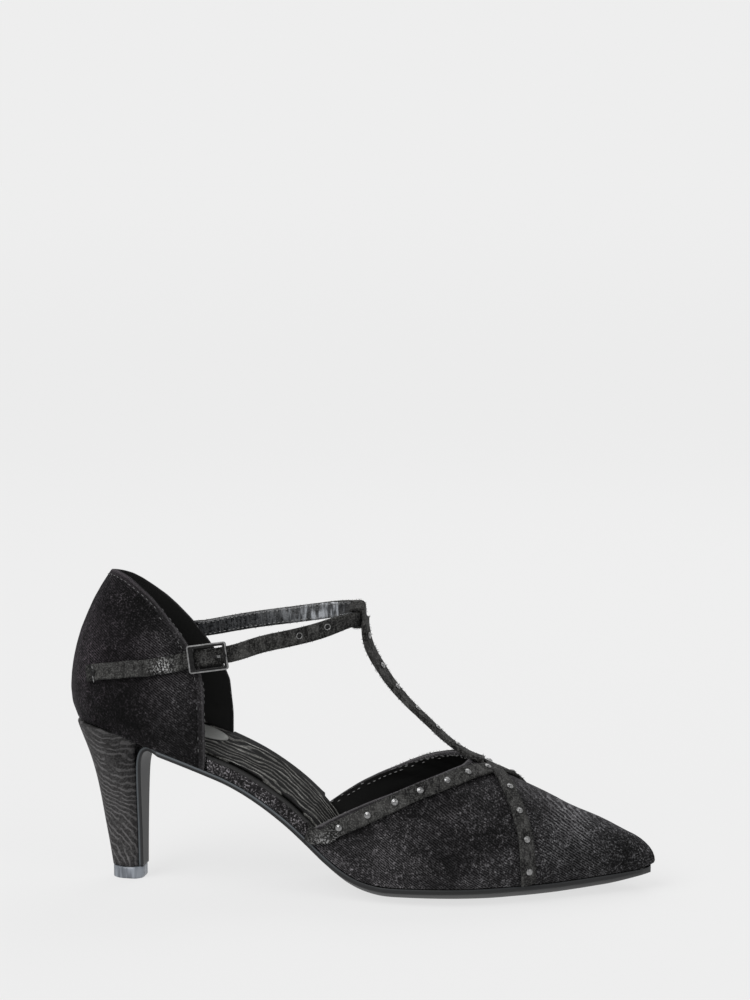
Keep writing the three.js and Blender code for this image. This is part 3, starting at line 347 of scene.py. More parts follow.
def velvet(name, back, front, ribs, patches):
    """Velvet: a matt dark pile with cloudy patches.

    Its level goes from back to front along the shoe. Fine slanting ribs and painted sheen on the
    turned edge show where ribs is 1, and the patches are rows of SHEEN_AND_SHADE: painted sheen
    where the gain is plus and painted shade where it is minus.
    """
    finish = Finish(name, Roughness=0.85, Sheen_Weight=0.06, Sheen_Roughness=0.4)
    finish.set("Specular IOR Level", 0.12)
    finish.set("Sheen Tint", (0.85, 0.8, 0.9, 1.0))
    cloud = finish.noise(52.0, 3.0, 0.6).between(0.36, 0.66)
    speck = finish.noise(1120.0, 2.0, 0.8).between(0.46, 0.69)
    mottle = finish.noise(300.0, 3.0, 0.65).between(0.4, 0.68)
    along = finish.x.between(118.0, 210.0)
    slant = (finish.x * 0.62 + finish.z * 0.85 + mottle * 0.3) * (FULL_TURN / RIB_PITCH)
    mask = finish.noise(34.0, 2.0).between(0.44, 0.6) * ribs
    ridge = slant.sine().between(-0.1, 0.9)
    body = 0.42 + cloud * 0.36 + mottle * 0.42
    ribbed = mask
    # Painted sheen where a patch's gain is plus, painted shade where it is minus
    for x, z, reach, gain in patches:
        body = body + finish.near(x, z, reach) * gain
        ribbed = ribbed + finish.near(x, z, reach) * (0.6 * ribs if gain > 0 else 0.0)
    ridge = ridge * ribbed
    body = body.between(0.0, BODY_TOP) * BODY_TOP
    level = body * (0.14 + speck * (0.8 + speck * 2.6) + ridge * 1.3)
    hind = finish.blend(
        finish.x.between(-16.0, 26.0),
        grey(back, (1.12, 0.93, 1.08)),
        grey(back, (1.03, 0.98, 1.03)),
    )
    tone = finish.blend(along, hind, grey(front, (1.0, 0.99, 1.03)))
    edge = finish.attribute("from_edge")
    # Painted sheen on the rolled edge: strong within 0.9 mm of it, fainter out to the stitch row
    rim = ((1.0 - edge.between(0.3, 0.9)) * 1.1 + (1.0 - edge.between(1.9, 2.5)) * 0.35) * ribs
    made = finish.node(
        "ShaderNodeVectorMath", {"operation": "SCALE"}, {0: tone, "Scale": level + rim}
    )
    finish.set("Base Color", Wire(finish.tree, made.outputs[0]))
    fold = (1.0 - edge.between(1.9, 2.6)) * 1.5
    seam = (1.0 - edge.between(2.6, 3.1)) * edge.between(2.1, 2.6) * -0.8
    height = speck * 0.7 + mottle * 0.9 + ridge * 0.5 + fold + seam
    finish.bump(height, 0.00028, 1.0)
    return finish.material


def plain(name, level, roughness, tint=(1.0, 1.0, 1.0), grain=600.0, depth=0.00004):
    """A plain finish with a slight grain."""
    finish = Finish(name, Roughness=roughness)
    cloud = finish.noise(grain * 0.2, 3.0, 0.6).between(0.25, 0.75)
    low, high = (
        tuple(gain * part for part in grey(level, tint)[:3]) + (1.0,) for gain in (0.82, 1.16)
    )
    finish.set("Base Color", finish.blend(cloud, low, high))
    finish.bump(finish.noise(grain, 3.0, 0.6), depth)
    return finish.material


def striped_cloth(name):
    """The heel's cover: a fine cloth with lighter wavy stripes that fall from its back edge."""
    finish = Finish(name, Roughness=0.8)
    finish.set("Specular IOR Level", 0.25)
    sway = finish.noise(90.0, 2.0, 0.6) * 10.0
    inward = finish.x + finish.z * 0.22 + 9.0
    curved = finish.z - FADE ** (inward * -0.16) * 22.0
    straight = finish.z * 0.62 + finish.x * 1.1
    upper = finish.z.between(14.0, 46.0)
    run = (curved * upper + straight * (1.0 - upper) + sway) * (FULL_TURN / STRIPE_PITCH)
    stripe = run.sine().between(0.2, 0.8)
    breaks = finish.noise(190.0, 2.0, 0.5).between(0.34, 0.5)
    fine = finish.noise(1200.0, 2.0, 0.7).between(0.4, 0.68)
    mixed = stripe * breaks * 0.6 + fine * 0.4
    low, high = grey(40, (1.04, 0.99, 1.0)), grey(99, (1.02, 0.99, 1.0))
    finish.set("Base Color", finish.blend(mixed, low, high))
    finish.bump(fine * 0.7 - stripe * 0.2, 0.00012, 0.8)
    return finish.material


def figured_cloth(name):
    """The sock: a dark ribbed cloth with fine shiny lengthwise lines."""
    finish = Finish(name)
    finish.set("Specular IOR Level", 0.1)
    warp = finish.noise(22.0, 2.0, 0.5) * 22.0 + finish.noise(95.0, 2.0) * 9.0
    rib = ((finish.y + warp) * (FULL_TURN / SOCK_PITCH)).sine().between(0.1, 0.85)
    streak = finish.noise(70.0, 3.0, 0.6, finish.stretched((0.0, 0.0, 0.0), (1.0, 9.0, 1.0)))
    shine = streak.between(0.54, 0.66)
    weave = finish.noise(1500.0, 1.0).between(0.35, 0.65)
    mixed = rib * (0.35 + shine * 0.65) * (0.4 + weave * 0.6)
    low, high = grey(4, (1.0, 1.0, 0.93)), grey(172, (1.0, 0.99, 0.93))
    finish.set("Base Color", finish.blend(mixed, low, high))
    finish.set("Roughness", 0.75 - shine * 0.3)
    finish.bump(weave * 0.4 + rib, 0.00018, 0.8)
    return finish.material


def sole_leather(name):
    """The sole sheet: smooth, lighter on the heel's breast; painted highlight along its lower edge.
    """
    finish = Finish(name, Roughness=0.5)
    finish.set("Specular IOR Level", 0.28)
    fore = finish.x.between(16.0, 34.0)
    face = finish.blend(fore, grey(44, (0.97, 1.0, 1.04)), grey(36, (0.98, 1.0, 1.04)))
    # Painted highlight along the sheet's rounded lower edge, mostly gone past the waist
    rim = 1.0 - finish.attribute("from_edge").between(0.5, 1.1)
    rim = rim * (1.0 - finish.x.between(70.0, 110.0) * 0.9)
    finish.set("Base Color", finish.blend(rim, face, grey(92, (0.9, 1.0, 1.08))))
    finish.bump(finish.noise(220.0, 2.0) * 0.4 + rim * 0.8, 0.00012, 0.6)
    return finish.material


def lift_plastic(name):
    """The lift: smooth blue-grey with faint lengthwise streaks."""
    finish = Finish(name, Roughness=0.4)
    streak = finish.noise(420.0, 2.0, 0.5, finish.stretched((0.0, 0.0, 0.0), (1.0, 1.0, 0.15)))
    low, high = grey(96, (0.9, 1.0, 1.16)), grey(150, (0.92, 1.0, 1.12))
    finish.set("Base Color", finish.blend(streak.between(0.35, 0.65), low, high))
    finish.bump(streak, 0.00006, 0.5)
    return finish.material


def strap_cloth(name, level):
    """The straps' felted cloth, with crosswise ruts and painted highlights at two places."""
    finish = Finish(name, Roughness=0.8)
    finish.set("Specular IOR Level", 0.22)
    speck = finish.noise(1350.0, 1.0, 0.6).between(0.42, 0.6)
    cloud = finish.noise(190.0, 3.0, 0.6).between(0.3, 0.7)
    rut = finish.noise(380.0, 2.0, 0.5, finish.stretched((0.0, 0.6, 0.0), (1.0, 0.6, 0.35)))
    rut = rut.between(0.36, 0.6)
    shiny = cloud.between(0.72, 0.95) * rut
    mixed = speck * 0.5 + cloud * 0.08 + rut * 0.3 + shiny * 0.3
    low, high = grey(level * 0.12, (1.0, 0.99, 0.93)), grey(level * 1.65, (1.0, 0.99, 0.95))
    # Painted highlights: light flecks round two places seen from the side
    wear_and_highlight = (finish.near(20.0, 98.0, 4.0) + finish.near(92.0, 23.0, 6.0)) * speck.between(0.5, 1.0)
    finish.set("Base Color", finish.blend(wear_and_highlight, finish.blend(mixed, low, high), grey(165)))
    finish.bump(speck * 0.8 + cloud + rut * 1.6, 0.00045, 1.0)
    return finish.material


def glossy_lining(name):
    """The straps' lining: glossy blue-black, gathered into crosswise wrinkles with painted
    highlights.
    """
    finish = Finish(name, Coat_Weight=0.5, Coat_Roughness=0.15)
    gather = finish.noise(430.0, 2.0, 0.5, finish.stretched((0.0, 0.25, 0.0), (1.0, 0.4, 0.22)))
    wrinkle = gather.between(0.34, 0.66)
    fine = finish.noise(900.0, 3.0, 0.6).between(0.3, 0.7)
    # Painted highlights on the wrinkles, growing brighter from x 50 to 92 mm
    ahead = finish.x.between(50.0, 92.0)
    wear_and_highlight = (0.16 + ahead * 0.9) * wrinkle
    low, high = grey(14, (0.85, 0.95, 1.1)), grey(205, (0.94, 0.98, 1.04))
    finish.set("Base Color", finish.blend(wear_and_highlight * wear_and_highlight * 0.9 + fine * 0.08, low, high))
    finish.set("Roughness", 0.22 + fine * 0.2)
    finish.bump(wrinkle * 1.6 + fine * 0.3, 0.0005, 0.9)
    return finish.material


def metal(name, level, roughness):
    """Dark plated metal."""
    finish = Finish(name, Metallic=1.0)
    wear_and_highlight = finish.noise(700.0, 3.0, 0.6).between(0.3, 0.7)
    finish.set("Base Color", finish.blend(wear_and_highlight, grey(level * 0.8), grey(level)))
    finish.set("Roughness", roughness + wear_and_highlight * 0.12)
    return finish.material


# What makes each material, from its name
MAKERS = {
    "counter_velvet": lambda name: velvet(name, 44.0, 44.0, 1.0, SHEEN_AND_SHADE["counter"]),
    "vamp_velvet": lambda name: velvet(name, 68.0, 77.0, 1.0, SHEEN_AND_SHADE["vamp"]),
    "board_velvet": lambda name: velvet(name, 106.0, 106.0, 0.0, SHEEN_AND_SHADE["board"]),
    # The dark copy of the board velvet for its top faces: painted shade
    "board_top": lambda name: plain(name, 12.0, 0.9, (1.0, 1.0, 0.95), 1300.0, 0.0001),
    "lining": lambda name: plain(name, 14.0, 0.75, (1.0, 1.0, 0.93)),
    "heel_cloth": striped_cloth,
    "sock_cloth": figured_cloth,
    "sole_sheet": sole_leather,
    "lift_rubber": lift_plastic,
    "strap_cloth": lambda name: strap_cloth(name, 50.0),
    "strap_lining": glossy_lining,
    "dark_metal": lambda name: metal(name, 52.0, 0.4),
    "rim_metal": lambda name: metal(name, 158.0, 0.4),
    "stud_metal": lambda name: metal(name, 160.0, 0.26),
    "dark_thread": lambda name: plain(name, 96.0, 0.7),
    "light_thread": lambda name: plain(name, 138.0, 0.7),
    "hole_shade": lambda name: plain(name, 14.0, 0.9),
    "pale_patch": lambda name: plain(name, 118.0, 0.6, (0.98, 1.0, 0.96)),
}
MATERIALS = {}


def material(name):
    """The shared material of that name, made when it is first asked for."""
    if name not in MATERIALS:
        MATERIALS[name] = MAKERS[name](name)
    return MATERIALS[name]


def merged(node):
    """A CAD node's mesh with doubles merged and its triangle pairs made into quads."""
    bm = bmesh.new()
    bm.from_mesh(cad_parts[node].data)
    bmesh.ops.remove_doubles(bm, verts=bm.verts, dist=2e-6)
    bmesh.ops.join_triangles(
        bm,
        faces=bm.faces,
        angle_face_threshold=math.radians(40),
        angle_shape_threshold=math.radians(75),
    )
    bmesh.ops.recalc_face_normals(bm, faces=bm.faces)
    bm.faces.ensure_lookup_table()
    return bm


def sharp_edges(bm, angle):
    """The edges whose two faces meet at more than the angle, in degrees."""
    limit = math.radians(angle)
    pairs = [edge for edge in bm.edges if len(edge.link_faces) == 2]
    return [edge for edge in pairs if edge.calc_face_angle() > limit]


def crease(bm, angle, amount):
    """Marks the edges sharper than the angle, so that subdivision keeps them."""
    layer = bm.edges.layers.float.new("crease_edge")
    for edge in sharp_edges(bm, angle):
        edge[layer] = amount


def round_edges(bm, angle, offset, clamp):
    """Bevels the edges sharper than the angle."""
    bmesh.ops.bevel(
        bm,
        geom=sharp_edges(bm, angle),
        offset=offset,
        offset_type="OFFSET",
        segments=2,
        profile=0.5,
        affect="EDGES",
        clamp_overlap=clamp,
        material=-1,
    )


def runs(bm, angle):
    """Groups of faces with no edge sharper than the angle inside them, the largest first."""
    left = set(bm.faces)
    found = []
    for first in bm.faces:
        if first not in left:
            continue
        left.discard(first)
        run = [first]
        for face in run:
            for edge in face.edges:
                if len(edge.link_faces) == 2 and edge.calc_face_angle() < math.radians(angle):
                    for other in edge.link_faces:
                        if other in left:
                            left.discard(other)
                            run.append(other)
        found.append(run)
    return sorted(found, key=lambda run: -sum(face.calc_area() for face in run))


def linked(faces):
    """Groups of the given faces that touch, the largest first."""
    left = set(faces)
    found = []
    while left:
        group = [left.pop()]
        for face in group:
            for other in [near for edge in face.edges for near in edge.link_faces]:
                if other in left:
                    left.discard(other)
                    group.append(other)
        found.append(group)
    return sorted(found, key=lambda group: -sum(face.calc_area() for face in group))


def border(run, keep):
    """A run's border as one ordered path, where the face beyond it passes the test."""
    inside = set(run)
    links = {}
    for face in run:
        for edge in face.edges:
            beyond = [other for other in edge.link_faces if other not in inside]
            if beyond and keep(beyond[0]):
                for vert in edge.verts:
                    links.setdefault(vert, []).append(edge.other_vert(vert))
    ends = [vert for vert in links if len(links[vert]) == 1]
    start = min(ends or links, key=lambda vert: (vert.co.y, vert.co.x))
    path, seen = [start], {start}
    while True:
        step = [vert for vert in links[path[-1]] if vert not in seen]
        if not step:
            return [vert.co.copy() for vert in path]
        path.append(step[0])
        seen.add(step[0])


def spaced(path, pitch):
    """Points a pitch apart along a path, each with the way ahead."""
    lengths = [0.0]
    for one, two in zip(path, path[1:]):
        lengths.append(lengths[-1] + (two - one).length)
    count = max(2, round(lengths[-1] / pitch))
    found = []
    index = 0
    for step in range(count):
        at = (step + 0.5) * lengths[-1] / count
        while lengths[index + 1] < at:
            index += 1
        one, two = path[index], path[index + 1]
        part = (at - lengths[index]) / (lengths[index + 1] - lengths[index])
        found.append((one.lerp(two, part), (two - one).normalized()))
    return found


def surface(piece):
    """A piece's shown surface, to lay other pieces on."""
    bpy.context.view_layer.update()
    return BVHTree.FromObject(piece, bpy.context.evaluated_depsgraph_get())


def threads(bm, places, length, thickness):
    """Short rounded stitches laid along a row of places, their sizes in millimetres."""
    for point, ahead, out in places:
        side = out.cross(ahead).normalized()
        over = ahead.cross(side).normalized()
        if over.dot(out) < 0:
            over = -over
        turn = Matrix((ahead, side, over)).transposed().to_4x4()
        across = thickness * MM / 2
        size = Matrix.Diagonal((length * MM / 2, across, across, 1))
        bmesh.ops.create_uvsphere(
            bm,
            u_segments=6,
            v_segments=4,
            radius=1.0,
            matrix=Matrix.Translation(point) @ turn @ size,
        )


def show(name, bm, slot, *finishes):
    """A shown piece made from a bmesh, riding on the shoe."""
    mesh = bpy.data.meshes.new(name)
    bm.to_mesh(mesh)
    bm.free()
    mesh.shade_smooth()
    piece = bpy.data.objects.new(name, mesh)
    bpy.context.scene.collection.objects.link(piece)
    for finish in finishes:
        mesh.materials.append(material(finish))
    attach(piece, "root")
    return piece


def subdivide(piece, levels):
    """Softens a piece by subdivision, drawn back out to the corners it was given."""
    change = piece.modifiers.new("soften", "SUBSURF")
    change.levels = levels
    change.render_levels = levels
    soft = piece.evaluated_get(bpy.context.evaluated_depsgraph_get())
    shape = soft.to_mesh()
    pulls = [vert.co - shape.vertices[vert.index].co for vert in piece.data.vertices]
    soft.to_mesh_clear()
    for vert, pull in zip(piece.data.vertices, pulls):
        vert.co += pull * PULL_OUT
    piece.data.update()


def near_path(tree, path, inward, pitch, centre):
    """Places on a surface, a way in from a path towards the centre, with ahead and out."""
    found = []
    for point, ahead in spaced(path, pitch):
        out = tree.find_nearest(point)[1]
        side = out.cross(ahead).normalized()
        if side.dot(centre - point) < 0:
            side = -side
        spot, normal, _, _ = tree.find_nearest(point + side * inward)
        found.append((spot + normal * STITCH_LIFT * MM, ahead, normal))
    return found


def away(point, start, end):
    """Distance from a point to a line between two points."""
    run = end - start
    part = min(max((point - start).dot(run) / run.length_squared, 0.0), 1.0)
    return (point - start - run * part).length


def measure(bm, path):
    """Gives each corner its distance from a path, in millimetres, for the materials."""
    layer = bm.verts.layers.float.new("from_edge")
    for vert in bm.verts:
        vert[layer] = min(away(vert.co, one, two) for one, two in zip(path, path[1:])) / MM
    return layer


def wrinkle(bm, faces, creases):
    """Soft troughs and ridges pressed into the faces' own corners."""
    bm.normal_update()
    verts = {vert for face in faces for vert in face.verts}
    shifts = []
    for vert in verts:
        rise = 0.0
        for start, end, reach, height in creases:
            gap = away(vert.co, Vector(start) * MM, Vector(end) * MM)
            rise += height * MM * math.exp(-((gap / (reach * MM)) ** 2))
        shifts.append((vert, vert.normal * rise))
    for vert, shift in shifts:
        vert.co += shift


def frays(bm, source, count, rng):
    """Short loose fibres along a strap's sharp edges."""
    sharp = sharp_edges(source, 55.0)
    weights = [edge.calc_length() for edge in sharp]
    for edge in rng.choices(sharp, weights, k=count):
        one, two = (vert.co for vert in edge.verts)
        spot = one.lerp(two, rng.random())
        out = (edge.link_faces[0].normal + edge.link_faces[1].normal).normalized()
        ahead = (two - one).normalized()
        near = edge.link_faces[0].normal
        lean = out + ahead * rng.uniform(-1.2, 1.2) + near * rng.uniform(-0.6, 0.6)
        turn = lean.normalized().to_track_quat("Z", "Y").to_matrix().to_4x4()
        length = rng.uniform(*FRAY_LENGTH) * MM
        start = Matrix.Translation(spot - out * FRAY_ROOT * MM) @ turn
        bmesh.ops.create_cone(
            bm,
            cap_ends=True,
            segments=3,
            radius1=rng.uniform(*FRAY_RADIUS) * MM,
            radius2=FRAY_TIP * MM,
            depth=length,
            matrix=start @ Matrix.Translation((0, 0, length / 2)),
        )


def rails(run):
    """The two long edges of a band's face, as matching rows of points."""
    inside = set(run)

    def beside(face):
        near = [other for edge in face.edges for other in edge.link_faces]
        return [other for other in near if other in inside and other != face]

    face = next(face for face in run if len(beside(face)) == 1)
    order, seen = [], set()
    while face:
        order.append(face)
        seen.add(face)
        face = next((other for other in beside(face) if other not in seen), None)
    left, right = [], []
    for one, two in zip(order, order[1:]):
        shared = next(edge for edge in one.edges if two in edge.link_faces)
        low, high = (vert.co.copy() for vert in shared.verts)
        if left and (low - left[-1]).length > (high - left[-1]).length:
            low, high = high, low
        left.append(low)
        right.append(high)
    return left, right


def facing_out(spot, out):
    """A placing at a spot, with Z turned to the given way."""
    return Matrix.Translation(spot) @ out.to_track_quat("Z", "Y").to_matrix().to_4x4()


def ring(bm, turn, radius, thickness):
    """A small round-edged ring lying on a place."""
    part = bmesh.new()
    bmesh.ops.create_circle(part, segments=8, radius=thickness)
    upright = Matrix.Translation((radius, 0, 0)) @ Matrix.Rotation(math.pi / 2, 4, "X")
    bmesh.ops.transform(part, matrix=upright, verts=part.verts)
    turned(bm, part, turn, 24)


def turned(bm, part, place, sides):
    """Spins a small part's outline round Z and joins it to a piece at a place."""
    bmesh.ops.spin(
        part,
        geom=part.verts[:] + part.edges[:],
        cent=(0, 0, 0),
        axis=(0, 0, 1),
        angle=FULL_TURN,
        steps=sides,
        use_merge=True,
    )
    bmesh.ops.remove_doubles(part, verts=part.verts, dist=1e-6)
    bmesh.ops.recalc_face_normals(part, faces=part.faces)
    bmesh.ops.transform(part, matrix=place, verts=part.verts)
    mesh = bpy.data.meshes.new("part")
    part.to_mesh(mesh)
    part.free()
    bm.from_mesh(mesh)
    bpy.data.meshes.remove(mesh)


def flat_face(node):
    """A small node's middle, the way it faces and its width, from the flat face at its back."""
    bm = merged(node)
    groups = {}
    for face in bm.faces:
        key = tuple(round(part, 2) for part in face.normal)
        groups.setdefault(key, []).append(face)
    best = max(groups.values(), key=lambda group: sum(face.calc_area() for face in group))
    points = [vert.co for face in best for vert in face.verts]
    middle = sum(points, Vector()) / len(points)
    out = -best[0].normal.copy()
    width = 2 * max((point - middle).length for point in points)
    bm.free()
    return middle, out, width


def domed(bm, middle, out, width, height, sides):
    """A domed disc with a low rim, standing on a place."""
    part = bmesh.new()
    verts = [part.verts.new((r * width / 2, 0, h * height)) for r, h in DOME]
    for pair in zip(verts, verts[1:]):
        part.edges.new(pair)
    turned(bm, part, facing_out(middle, out), sides)


class ShellSizes(bpy.types.PropertyGroup):
    """Sizes of the velvet upper."""

    stitch_inset: FloatProperty(
        name="Stitch inset",
        description="How far the row of stitches lies from the edge",
        default=2.6 * MM,
        unit="LENGTH",
    )
    stitch_pitch: FloatProperty(
        name="Stitch pitch",
        description="From one stitch to the next",
        default=2.6 * MM,
        unit="LENGTH",
    )


class StrapSizes(bpy.types.PropertyGroup):
    """Sizes of the straps."""

    edge: FloatProperty(
        name="Rounded edge",
        description="How far the straps' edges are rounded",
        default=0.35 * MM,
        unit="LENGTH",
    )
    grain: FloatProperty(
        name="Remesh size",
        description="Size of the faces where the straps are joined",
        default=0.35 * MM,
        unit="LENGTH",
    )


class MetalSizes(bpy.types.PropertyGroup):
    """Sizes of the studs and the buckle."""

    stud_dome: FloatProperty(
        name="Stud dome",
        description="Height of a stud's dome",
        default=0.75 * MM,
        unit="LENGTH",
    )
    stud_sides: IntProperty(
        name="Stud sides",
        description="Sides of a stud's dome",
        default=14,
    )
    buckle_edge: FloatProperty(
        name="Buckle edge",
        description="How far the buckle's edges are rounded",
        default=0.35 * MM,
        unit="LENGTH",
    )


class StageSizes(bpy.types.PropertyGroup):
    """Sizes of the stage."""

    lens: FloatProperty(
        name="Lens",
        description="The camera's lens, in millimetres",
        default=100.0,
    )
    softness: FloatProperty(
        name="Light size",
        description="Side of the main light",
        default=0.8,
        unit="LENGTH",
    )


class SHOE_OT_upper(bpy.types.Operator):
    """Builds the counter and the vamp, with their linings and stitches"""

    bl_idname = "shoe.upper"
    bl_label = "Upper"

    def execute(self, context):
        sizes = context.scene.shoe_shell
        stitches = bmesh.new()
        inner_stitches = bmesh.new()
        for node in SHELLS:
            bm = merged(node)
            outer, inner = runs(bm, 50.0)[:2]
            outside, inside = (
                border(run, lambda face: face.normal.z > LOOKS_DOWN) for run in (outer, inner)
            )
            crease(bm, 60.0, 0.45)
            for face in inner:
                face.material_index = 1
            bmesh.ops.subdivide_edges(bm, edges=bm.edges, cuts=1, use_grid_fill=True, smooth=0.0)
            facing = [face for face in bm.faces if face.material_index == 0]
            gap = measure(bm, outside)
            kept = [face for face in facing if min(vert[gap] for vert in face.verts) > CREASE_START]
            wrinkle(bm, kept, CREASES[node])
            piece = show(f"{node}_shown", bm, "velvet", f"{node}_velvet", "lining")
            subdivide(piece, 2)
            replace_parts(piece, node)
            tree = surface(piece)
            middle = sum(outside, Vector()) / len(outside)
            centre = Vector(VAMP_CENTRE) * MM
            if node == "counter":
                centre = Vector((middle.x, middle.y, COUNTER_LOW * MM))
            row = near_path(tree, outside, sizes.stitch_inset, sizes.stitch_pitch, centre)
            threads(stitches, row, *LONG_STITCH)
            if node == "vamp":
                inset = sizes.stitch_inset * 0.7
                row = near_path(tree, inside, inset, sizes.stitch_pitch, centre)
                threads(inner_stitches, row, *LINING_STITCH)
        show("upper_stitches", stitches, "velvet", "dark_thread")
        show("lining_stitches", inner_stitches, "velvet", "light_thread")
        return {"FINISHED"}


class SHOE_OT_sole(bpy.types.Operator):
    """Builds the sole sheet, board, sock, heel and lift"""

    bl_idname = "shoe.sole"
    bl_label = "Sole and heel"

    def execute(self, context):
        for node, slot, finish, amount in SOLE_PIECES:
            bm = merged(node)
            finishes = [finish]
            if node == "outsole":
                wide = runs(bm, 50.0)[:2]
                lower = min(wide, key=lambda run: sum(f.calc_center_median().z for f in run))
                rim = border(lower, lambda face: True)
                measure(bm, rim + rim[:1])
            if node == "insole_board":
                # Faces that look up take the dark copy: painted shade on the board's top
                finishes.append("board_top")
                for face in bm.faces:
                    face.material_index = 1 if face.normal.z > 0.6 else 0
            crease(bm, 40.0, amount)
            piece = show(f"{node}_shown", bm, slot, *finishes)
            subdivide(piece, 2)
            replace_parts(piece, node)
        sock = surface(bpy.data.objects["insole_sock_shown"])
        patch = bmesh.new()
        bmesh.ops.create_grid(patch, x_segments=12, y_segments=10, size=1.0)
        for vert in patch.verts:
            x, y = vert.co.x, vert.co.y
            ahead = PATCH_HALF[0] * x * math.sqrt(1 - y * y / 2)
            aside = PATCH_HALF[1] * y * math.sqrt(1 - x * x / 2)
            spot = Vector((PATCH_CENTRE[0] + ahead, PATCH_CENTRE[1] + aside, OVERHEAD))
            hit = sock.ray_cast(spot * MM, Vector((0, 0, -1)))[0]
            if hit is None:
                raise RuntimeError("the plain patch lies off the sock")
            vert.co = hit + Vector((0, 0, PATCH_LIFT * MM))
        bmesh.ops.solidify(patch, geom=patch.faces, thickness=PATCH_THICKNESS * MM)
        show("plain_patch", patch, "sock", "pale_patch")
        return {"FINISHED"}


class SHOE_OT_straps(bpy.types.Operator):
    """Builds the crossing straps with their bar and loop, and the ankle strap"""

    bl_idname = "shoe.straps"
    bl_label = "Straps"

    def execute(self, context):
        sizes = context.scene.shoe_strap
        rng = random.Random(FRAY_SEED)
        fibres = bmesh.new()
        bm = merged("t_strap")
        frays(fibres, bm, FRAY_COUNTS["t_strap"], rng)
        piece = show("t_strap_shown", bm, "strap", "strap_cloth")
        mesher = piece.modifiers.new("even_faces", "REMESH")
        mesher.mode = "VOXEL"
        mesher.voxel_size = sizes.grain
        mesher.use_smooth_shade = True
        softer = piece.modifiers.new("round_edges", "SMOOTH")
        softer.factor = 0.5
        softer.iterations = 18
        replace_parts(piece, "t_strap")
        bm = merged("ankle_strap")
        frays(fibres, bm, FRAY_COUNTS["ankle_strap"], rng)
        wide = runs(bm, 40.0)[:2]
        centre = Vector(STRAP_CENTRE) * MM
        inward = [
            sum(face.normal.dot(centre - face.calc_center_median()) for face in run) for run in wide
        ]
        inner = wide[0] if inward[0] > inward[1] else wide[1]
        for face in inner:
            face.material_index = 1
        left, right = rails(inner)
        stitches = bmesh.new()
        for edge, other in ((left, right), (right, left)):
            row = [one.lerp(two, SEAM_SHARE) for one, two in zip(edge, other)]
            places = []
            for spot, ahead in spaced(row, SEAM_PITCH * MM):
                near = min(inner, key=lambda face: (face.calc_center_median() - spot).length)
                out = near.normal.copy()
                places.append((spot + out * SEAM_LIFT * MM, ahead, out))
            threads(stitches, places, *STRAP_STITCH)
        round_edges(bm, 50.0, sizes.edge, False)
        piece = show("ankle_strap_shown", bm, "strap", "strap_cloth", "strap_lining")
        subdivide(piece, 1)
        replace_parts(piece, "ankle_strap")
        show("strap_frays", fibres, "strap", "strap_cloth")
        tree = surface(piece)
        places = []
        for step in range(TACK_COUNT):
            spot = (Vector(TACK_START) + Vector(TACK_STEP) * step) * MM
            found, out, _, _ = tree.find_nearest(spot)
            places.append((found + out * SEAM_LIFT * MM, Vector(TACK_AHEAD).normalized(), out))
        threads(stitches, places, *LONG_STITCH)
        show("strap_stitches", stitches, "strap", "light_thread")
        rings, shades = bmesh.new(), bmesh.new()
        for *place, kind in PUNCHED:
            before = (Vector(place) + Vector(PUNCHED_BEFORE)) * MM
            spot, out, _, _ = tree.find_nearest(before)
            turn = facing_out(spot, out)
            if kind == "ring":
                ring(rings, turn, EYELET_RADIUS * MM, EYELET_WIRE * MM)
            # A dark disc of painted shade stands for each hole
            bmesh.ops.create_cone(
                shades,
                cap_ends=True,
                segments=20,
                radius1=SHADE_RADIUS[kind] * MM,
                radius2=(SHADE_RADIUS[kind] - SHADE_TAPER) * MM,
                depth=SHADE_DEPTH * MM,
                matrix=turn,
            )
        show("strap_eyelets", rings, "metal", "stud_metal")
        show("strap_hole_shades", shades, "strap", "hole_shade")
        return {"FINISHED"}


class SHOE_OT_metal(bpy.types.Operator):
    """Builds the studs, the buckle, its prong and the rivet"""

    bl_idname = "shoe.metal"
    bl_label = "Metal"

    def execute(self, context):
        sizes = context.scene.shoe_metal
        studs = sorted(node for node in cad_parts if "stud" in node)
        bm = bmesh.new()
        for node in studs:
            middle, out, width = flat_face(node)
            domed(bm, middle, out, width * STUD_SPREAD, sizes.stud_dome, sizes.stud_sides)
        piece = show("studs", bm, "metal", "stud_metal")
        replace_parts(piece, *studs)
        bm = bmesh.new()
        middle, out, width = flat_face("strap_rivet")
        domed(bm, middle, out, width, RIVET_DOME * MM, sizes.stud_sides)
        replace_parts(show("strap_rivet_shown", bm, "metal", "dark_metal"), "strap_rivet")
        for node in ("buckle_frame", "buckle_prong"):
            bm = merged(node)
            sides = runs(bm, 40.0)[:4]
            facing = min(sides, key=lambda run: sum(f.normal.y * f.calc_area() for f in run))
            # The border of the front side takes the bright copy of the metal: painted highlight on
            # the frame's edges
            band = bmesh.ops.inset_region(
                bm, faces=facing, thickness=sizes.buckle_edge * 1.6, use_even_offset=True
            )
            for face in linked(band["faces"])[0]:
                face.material_index = 1
            round_edges(bm, 40.0, sizes.buckle_edge * 0.6, True)
            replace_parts(show(f"{node}_shown", bm, "metal", "dark_metal", "rim_metal"), node)
        return {"FINISHED"}


